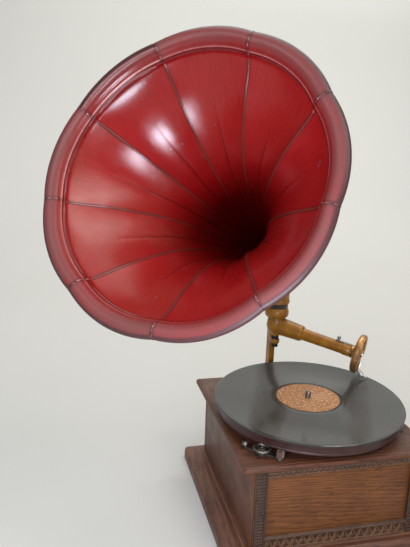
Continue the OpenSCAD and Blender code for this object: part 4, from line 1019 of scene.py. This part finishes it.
def buildHornElbow():
    # bend, ferrule and sleeve as one smooth casting with beads at its joints
    foot = boxOf("horn_elbow")[0].z
    tilt = math.radians(90 - horn["tilt"])
    bend = elbow["bendRadius"]
    bendZ = horn["crossing"] - bend * math.tan(tilt / 2)
    upright = Vector((0, 0, 1))
    stations = [(upright * (foot + height), upright, radius) for height, radius in elbow["ferrule"]]
    stations.append((upright * bendZ, upright, elbow["tubeRadius"]))
    for k in range(1, elbow["bendSteps"] + 1):
        angle = tilt * k / elbow["bendSteps"]
        centre = Vector((0, -bend + bend * math.cos(angle), bendZ + bend * math.sin(angle)))
        heading = Vector((0, -math.sin(angle), math.cos(angle)))
        stations.append((centre, heading, elbow["tubeRadius"]))
    stations += [(centre + heading * out, heading, radius) for out, radius in elbow["sleeve"]]
    sideways = Vector((1, 0, 0))
    points = []
    for centre, heading, radius in stations:
        upwards = heading.cross(sideways)
        for j in range(elbow["segments"]):
            angle = 2 * math.pi * j / elbow["segments"]
            points.append(centre + sideways * radius * math.cos(angle) + upwards * radius * math.sin(angle))
    mesh = meshOf("hornElbow", points, gridFaces(len(stations), elbow["segments"], closed=True))
    with editing(mesh) as shape:
        bmesh.ops.recalc_face_normals(shape, faces=shape.faces)
        shape.transform(hornTurn)
    piece = placeMesh("hornElbow", mesh, ochre, "horn", "horn_elbow")
    addModifier(piece, "SOLIDIFY", {"thickness": elbow["wall"] * mm, "offset": -1})
    smoothByAngle(applied(piece), 35)


hornRings = buildPetals()
buildSeams(*hornRings)
buildHornElbow()
paint(nodes["horn_rim_wire"].data, seamEnamel)
print("horn is built")


def finishCase():
    for node, material, width in (
        ("bottom_board", caseWoodY, 0.5), ("plinth_front", plinthWoodX, 0.7),
        ("plinth_back", plinthWoodX, 0.7), ("plinth_sides", plinthWoodY, 0.7), ("case_front", panelWood, 0.6),
        ("case_back", caseWoodX, 0.6), ("case_left", caseWoodY, 0.6), ("case_right", caseWoodY, 0.6),
        ("top_board", boardWood, 0.35),
    ):
        softened(node, node + "_worn", material, width)


carving = {
    "tongues": 17,
    "tongueHeight": 12.4,
    "tongueRelief": 1.45,
    "lobes": 27,
    "lobeHeight": 4.6,
    "ridgePitch": 4.0,
    "ridgeWidth": 10.2,
    "ridgeDepth": 1.7,
    "ridgeHalf": 1.75,
    "unevenness": 0.05,
    "stileUnevenness": 0.06,
}


def tongueMesh(width):
    # one carved tongue: raised rim, sunk field and a drop in the middle
    rows, columns = 16, 14
    points = []
    for i in range(rows + 1):
        v = i / rows
        half = 0.5 * math.sqrt(1 - v) * (0.55 + 0.9 * v * (1 - v) + 0.45 * (1 - v))
        for j in range(columns + 1):
            s = j / columns * 2 - 1
            field = 0.25
            rim = 0.75 * math.exp(-((abs(s) - 0.86) / 0.13) ** 2)
            drop = 0.95 * math.sqrt(max(0.0, 1 - (abs(s) / 0.42) ** 2 - ((v - 0.30) / 0.30) ** 2))
            fall = max(0.0, (abs(s) - 0.93) / 0.07)
            depth = (field + rim + drop) * (1 - fall ** 2)
            points.append((s * half * width, -depth * carving["tongueRelief"], v * carving["tongueHeight"]))
    mesh = meshOf("tongue", points, gridFaces(rows + 1, columns + 1))
    with editing(mesh) as shape:
        bmesh.ops.remove_doubles(shape, verts=shape.verts, dist=1e-6)
    mesh.shade_smooth()
    return mesh


def lobeMesh(radius):
    rings, segments = 8, 10
    points = []
    for i in range(rings + 1):
        v = i / rings
        size = math.sin(math.pi * min(1.0, 0.12 + 0.76 * v)) ** 0.5
        for j in range(segments + 1):
            angle = math.pi * j / segments
            points.append((radius * size * math.cos(angle) + (v - 0.5) * 0.35 * radius,
                           -radius * 0.8 * size * math.sin(angle), v * carving["lobeHeight"]))
    mesh = meshOf("lobe", points, gridFaces(rings + 1, segments + 1, flipped=True))
    mesh.shade_smooth()
    return mesh


def ridgeMesh():
    # a half-round bar across a stile, a little lower at its ends
    segments = 8
    half = carving["ridgeWidth"] / 2
    points = []
    for i in range(segments + 1):
        angle = math.pi * i / segments
        for x, size in ((-half, 0.75), (0.5 - half, 1.0), (0, 1.0), (half - 0.5, 1.0), (half, 0.75)):
            points.append((x, -carving["ridgeDepth"] * math.sin(angle) * size,
                           carving["ridgeHalf"] * math.cos(angle) * size))
    mesh = meshOf("ridge", points, gridFaces(segments + 1, 5))
    mesh.shade_smooth()
    return mesh


def rowTree(name, stamp, material):
    # repeats a stamp along a straight row over a plain backing
    tree, ids, given = newRowTree(name, {"count": "Int", "start": "Vector", "step": "Vector",
                                         "unevenness": "Float", "seed": "Int"})
    line = put(tree, "GeometryNodeMeshLine", {"mode": "OFFSET"},
               {"Count": given["count"], "Start Location": given["start"], "Offset": given["step"]})
    source = put(tree, "GeometryNodeObjectInfo", {"transform_space": "ORIGINAL"},
                 {"Object": stamp, "As Instance": True})
    size = put(tree, "FunctionNodeRandomValue", {"data_type": "FLOAT"},
               {2: maths(tree, "SUBTRACT", 1.0, given["unevenness"]), 3: 1.0, "Seed": given["seed"]})
    placed = put(tree, "GeometryNodeInstanceOnPoints", None,
                 {"Points": line.outputs["Mesh"], "Instance": source.outputs["Geometry"],
                  "Scale": size.outputs[1]})
    real = put(tree, "GeometryNodeRealizeInstances", None, {"Geometry": placed.outputs["Instances"]})
    joined = put(tree, "GeometryNodeJoinGeometry")
    tree.links.new(given["Geometry"], joined.inputs[0])
    tree.links.new(real.outputs["Geometry"], joined.inputs[0])
    endRowTree(tree, joined.outputs["Geometry"], material)
    return tree, ids


def carveRow(backing, stamp, material, node, count, start, step, unevenness, seed):
    stampObject = bpy.data.objects.new(stamp.name, stamp)
    tree, ids = rowTree(backing.name + "Row", stampObject, material)
    piece = newPiece(backing.name, backing)
    sizes = {"count": count, "start": [value * mm for value in start], "step": [value * mm for value in step],
             "unevenness": unevenness, "seed": seed}
    smoothByAngle(grow(piece, tree, ids, sizes, material), 40)
    bpy.data.objects.remove(stampObject)
    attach(piece, "case")
    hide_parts(node)


def carveFront():
    low, high = boxOf("moulding_bottom")
    face, bottom, top = high.y, low.z, high.z
    outline = roundedOutline([
        (face, bottom), (face - 4, bottom), (face - 4, bottom + 1.6), (face - 1.8, bottom + 2.3),
        (face - 1.8, top - 4.2), (face - 3.9, top - 3.6), (face - 4, top - 2.3), (face - 1.0, top - 0.1),
        (face, top),
    ], 0.5)
    pitch = (high.x - low.x) / carving["tongues"]
    carveRow(prismMesh("tongueStrip", outline, low.x, high.x), tongueMesh(pitch * 0.98), carvedWood,
             "moulding_bottom", carving["tongues"], (low.x + pitch / 2, face - 1.7, bottom + 2.2),
             (pitch, 0, 0), carving["unevenness"], 3)
    corner = high.x

    low, high = boxOf("moulding_top")
    bottom, top = low.z, high.z
    outline = roundedOutline([
        (face, bottom), (face - 3, bottom), (face - 3, bottom + 1.5), (face - 1.6, bottom + 2.1),
        (face - 1.6, top - 3), (face - 4, top - 2.4), (face - 4, top), (face, top),
    ], 0.4)
    pitch = (high.x - low.x) / carving["lobes"]
    carveRow(prismMesh("lobeStrip", outline, low.x, high.x), lobeMesh(pitch * 0.47), carvedWood,
             "moulding_top", carving["lobes"], (low.x + pitch / 2, face - 1.4, bottom + 2.0), (pitch, 0, 0),
             carving["unevenness"], 5)

    low, high = boxOf("moulding_stiles")
    half = (high.x - corner) / 2
    count = int((high.z - low.z) / carving["ridgePitch"])
    profile = [(half, 0), (half, 3.8), (half - 2.2, 3.8), (half - 2.6, 2.0)]
    ridge = ridgeMesh()
    for sign, side in ((-1, "left"), (1, "right")):
        centre = sign * (high.x - half)
        outline = roundedOutline([(centre - x, face - y) for x, y in profile]
                                 + [(centre + x, face - y) for x, y in profile[::-1]], 0.5)
        carveRow(prismMesh("stile_" + side, outline, low.z, high.z, True), ridge, carvedStileWood,
                 "moulding_stiles", count, (centre, face - 1.9, low.z + 3), (0, 0, carving["ridgePitch"]),
                 carving["stileUnevenness"], 7)


finishCase()
carveFront()
print("case is finished")


disc = {
    "hole": 3.65,  # radii, while outer sizes come from the CAD nodes
    "label": 42.5,
    "grooveEnd": 50.5,
    "labelRelief": 0.15,
    "grooveDepth": 0.22,
    "matHole": 4.6,
}


def buildRecord():
    low, high = boxOf("record")
    r = (high.x - low.x) / 2
    bottom, top = low.z, high.z
    hole, label, end, relief = (disc[key] for key in ("hole", "label", "grooveEnd", "labelRelief"))
    floor = top - disc["grooveDepth"]
    outline = [
        (hole, bottom + relief), (label, bottom + relief), (label, bottom), (r - 0.9, bottom),
        (r - 0.1, bottom + 0.6), (r, bottom + 1.1), (r - 0.1, top - 0.6), (r - 0.8, top),
        (r - 3.6, top - 0.02), (r - 4.4, floor), (end, floor), (end - 1, top - 0.05), (label + 0.8, top),
        (label, top - relief), (hole, top - relief),
    ]
    placeMesh("recordDisc", latheMesh("recordDisc", outline, 256), shellac, "turntable", "record")

    labels = bmesh.new()
    inner, outer = hole + 0.05, label - 0.1
    for z0, z1 in ((top - relief, top + 0.02), (bottom, bottom + 0.14)):
        labels.from_mesh(latheMesh("labelDisc", [(inner, z0), (outer, z0), (outer, z1), (inner, z1)], 128))
    mesh = bpy.data.meshes.new("recordLabels")
    labels.to_mesh(mesh)
    labels.free()
    placeMesh("recordLabels", mesh, speckledPaper, "turntable", "record_labels")


def buildPlatter():
    low, high = boxOf("platter")
    r = (high.x - low.x) / 2
    bottom, top, hole = low.z, high.z, disc["hole"]
    outline = roundedOutline([
        (hole, top - 9), (11, top - 9), (13, top - 2.2), (r - 3.6, top - 2.2), (r - 2.4, top - 3.4),
        (r - 2.4, bottom), (r, bottom), (r, bottom + 2.0), (r - 0.5, bottom + 2.6), (r - 0.5, top - 4),
        (r, top - 3.4), (r, top - 1.2), (r - 1.2, top), (hole, top),
    ], 0.5)
    placeMesh("platterDisc", latheMesh("platterDisc", outline, 192), platterPaint, "turntable", "platter")

    low, high = boxOf("turntable_mat")
    r = (high.x - low.x) / 2
    hole = disc["matHole"]
    outline = roundedOutline([(hole, low.z), (r, low.z), (r, high.z), (hole, high.z)], 0.35)
    placeMesh("feltMat", latheMesh("feltMat", outline, 160), matFelt, "turntable", "turntable_mat")


buildRecord()
buildPlatter()
softened("spindle", "spindle_turned", darkNickel, 0.25)
softened("worm_wheel", "wormWheel", fibreFinish, 0.1, 1)
print("turntable is built")


arm = {
    "azimuth": 39.8,
    "slope": 9.4,
    "elbowLength": 44.5,  # from the pivot, as are the tube's end and the soundbox's face
    "tubeEnd": 120,
    "boxRadius": 29,
    "face": 136.5,
    "bore": 7,
}
armMatrix = (Matrix.Translation(joints["tonearm_swing"]["pos_m"])
             @ Matrix.Rotation(math.radians(-arm["azimuth"]), 4, "Z")
             @ Matrix.Rotation(math.radians(90 + arm["slope"]), 4, "Y"))


def buildArm():
    castCopy("arm_elbow", "armElbow", ochre, 0.75, 5)
    start, end, bore = arm["elbowLength"], arm["tubeEnd"], arm["bore"]
    outline = [
        (bore, start - 13), (9.15, start - 13), (9.2, start + 1), (8.5, start + 62), (8.5, start + 63),
        (9.15, start + 63.6), (9.25, start + 64.5), (9.2, end - 1.4), (8.7, end), (bore, end),
    ]
    placeMesh("armTube", latheMesh("armTube", outline, 72, armMatrix), ochre, "tonearm", "arm_tube")
    softened("arm_latch", "armLatch", darkNickel, 0.2)


def buildSoundbox():
    r, face = arm["boxRadius"], arm["face"]
    back, front = face - 10.5, face - 3
    edge = r - 3.1
    shell = [
        (4.5, back - 16), (6.95, back - 16), (6.95, back - 6.2), (9.4, back - 5.6), (9.6, back - 2.0),
        (r - 6, back - 0.2), (r - 1.7, back + 1.2), (r, back + 3.6), (r, back + 8.2), (r - 0.8, back + 9),
        (r - 3, back + 9), (r - 3, back + 3), (4.5, back + 1.5),
    ]
    ring = [
        (edge, front), (edge, face - 1.5), (r - 0.7, face - 1.5), (r - 1.2, face - 0.2), (r - 3, face),
        (r - 4.6, face - 0.3), (r - 5.4, face - 1.3), (r - 6.6, face - 0.7), (r - 8, face - 1.5),
        (r - 8.2, front),
    ]
    mica = [
        (0, front - 2.4), (11, front - 2.4), (13, front - 1), (edge, front - 1), (edge, front),
        (17.5, front + 0.1), (16.5, front + 0.5), (14.2, front + 0.5), (12.6, front), (10.6, front - 1.4),
        (7, front - 1.4), (6, front - 0.9), (4.4, front - 0.9), (3.2, front - 1.6), (0, front - 1.6),
    ]
    for name, outline, radius, material, node, slot in (
        ("soundboxShell", shell, 0.9, boxBrass, "soundbox_shell", "soundbox_brass"),
        ("soundboxRing", ring, 0.5, boxBrass, "soundbox_ring", "soundbox_brass"),
        ("soundboxDiaphragm", mica, 0.5, micaFinish, "diaphragm", "diaphragm_mica"),
    ):
        mesh = latheMesh(name, roundedOutline(outline, radius, 4), 128, armMatrix)
        placeMesh(name, mesh, material, "soundbox", node)
    softened("needle_arm", "needleArm", brightNickel, 0.25)
    softened("needle_screw", "needleScrew", brightNickel, 0.2)
    softened("needle", "needlePoint", brightNickel, 0.05, 1)


buildArm()
buildSoundbox()
print("tonearm and soundbox are built")


castCopy("bracket", "hornBracket", ochre, 1.0, 4)
for node, material, width in (
    ("bracket_screws", darkNickel, 0.25), ("arm_pivot_screw", blackSteel, 0.3),
    ("horn_gasket", gasketLeather, 0.3), ("board_screws", blackSteel, 0.15),
    ("regulator_dial", darkNickel, 0.3), ("brake_lever", darkNickel, 0.35), ("brake_pad", padLeather, 0.4),
    ("crank_arm", steelFinish, 0.5), ("crank_escutcheon", brassFinish, 0.4),
    ("motor_bolts", steelFinish, 0.3),
):
    softened(node, node + "_fine", material, width)

for material, inside in (
    (motorPaint, ("motor_top_plate", "motor_bottom_plate", "speed_lever")),
    (brassFinish, ("spring_barrel", "drive_wheel", "governor_weights")),
    (steelFinish, ("motor_pillars", "mainspring", "barrel_arbor", "ratchet_wheel", "ratchet_click",
                   "drive_arbor", "governor_shaft", "governor_springs", "governor_disc", "regulator_shaft",
                   "crank_shaft")),
):
    for node in inside:
        paint(nodes[node].data, material)

# the knob's outline from the crank outwards: radius, distance
knobOutline = [
    (3.1, 0), (6.6, 0), (7.6, 0.5), (8, 1.6), (7.9, 3), (7.3, 4.2), (7.3, 5.4), (8.0, 8), (9.4, 12),
    (10.8, 17), (11.6, 22), (11.8, 26), (11.3, 30), (10.0, 33.2), (8.2, 35.2), (6, 36), (3.1, 36),
]
knobAt = Vector(joints["crank_knob_spin"]["pos_m"])
knobAt.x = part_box("crank_knob")[0].x
knobPlace = Matrix.Translation(knobAt) @ Matrix.Rotation(math.pi / 2, 4, "Y")
placeMesh("crankKnob", latheMesh("crankKnob", knobOutline, 64, knobPlace), knobWood, "crank_knob",
          "crank_knob")
print("bracket, brake, crank and motor are finished")
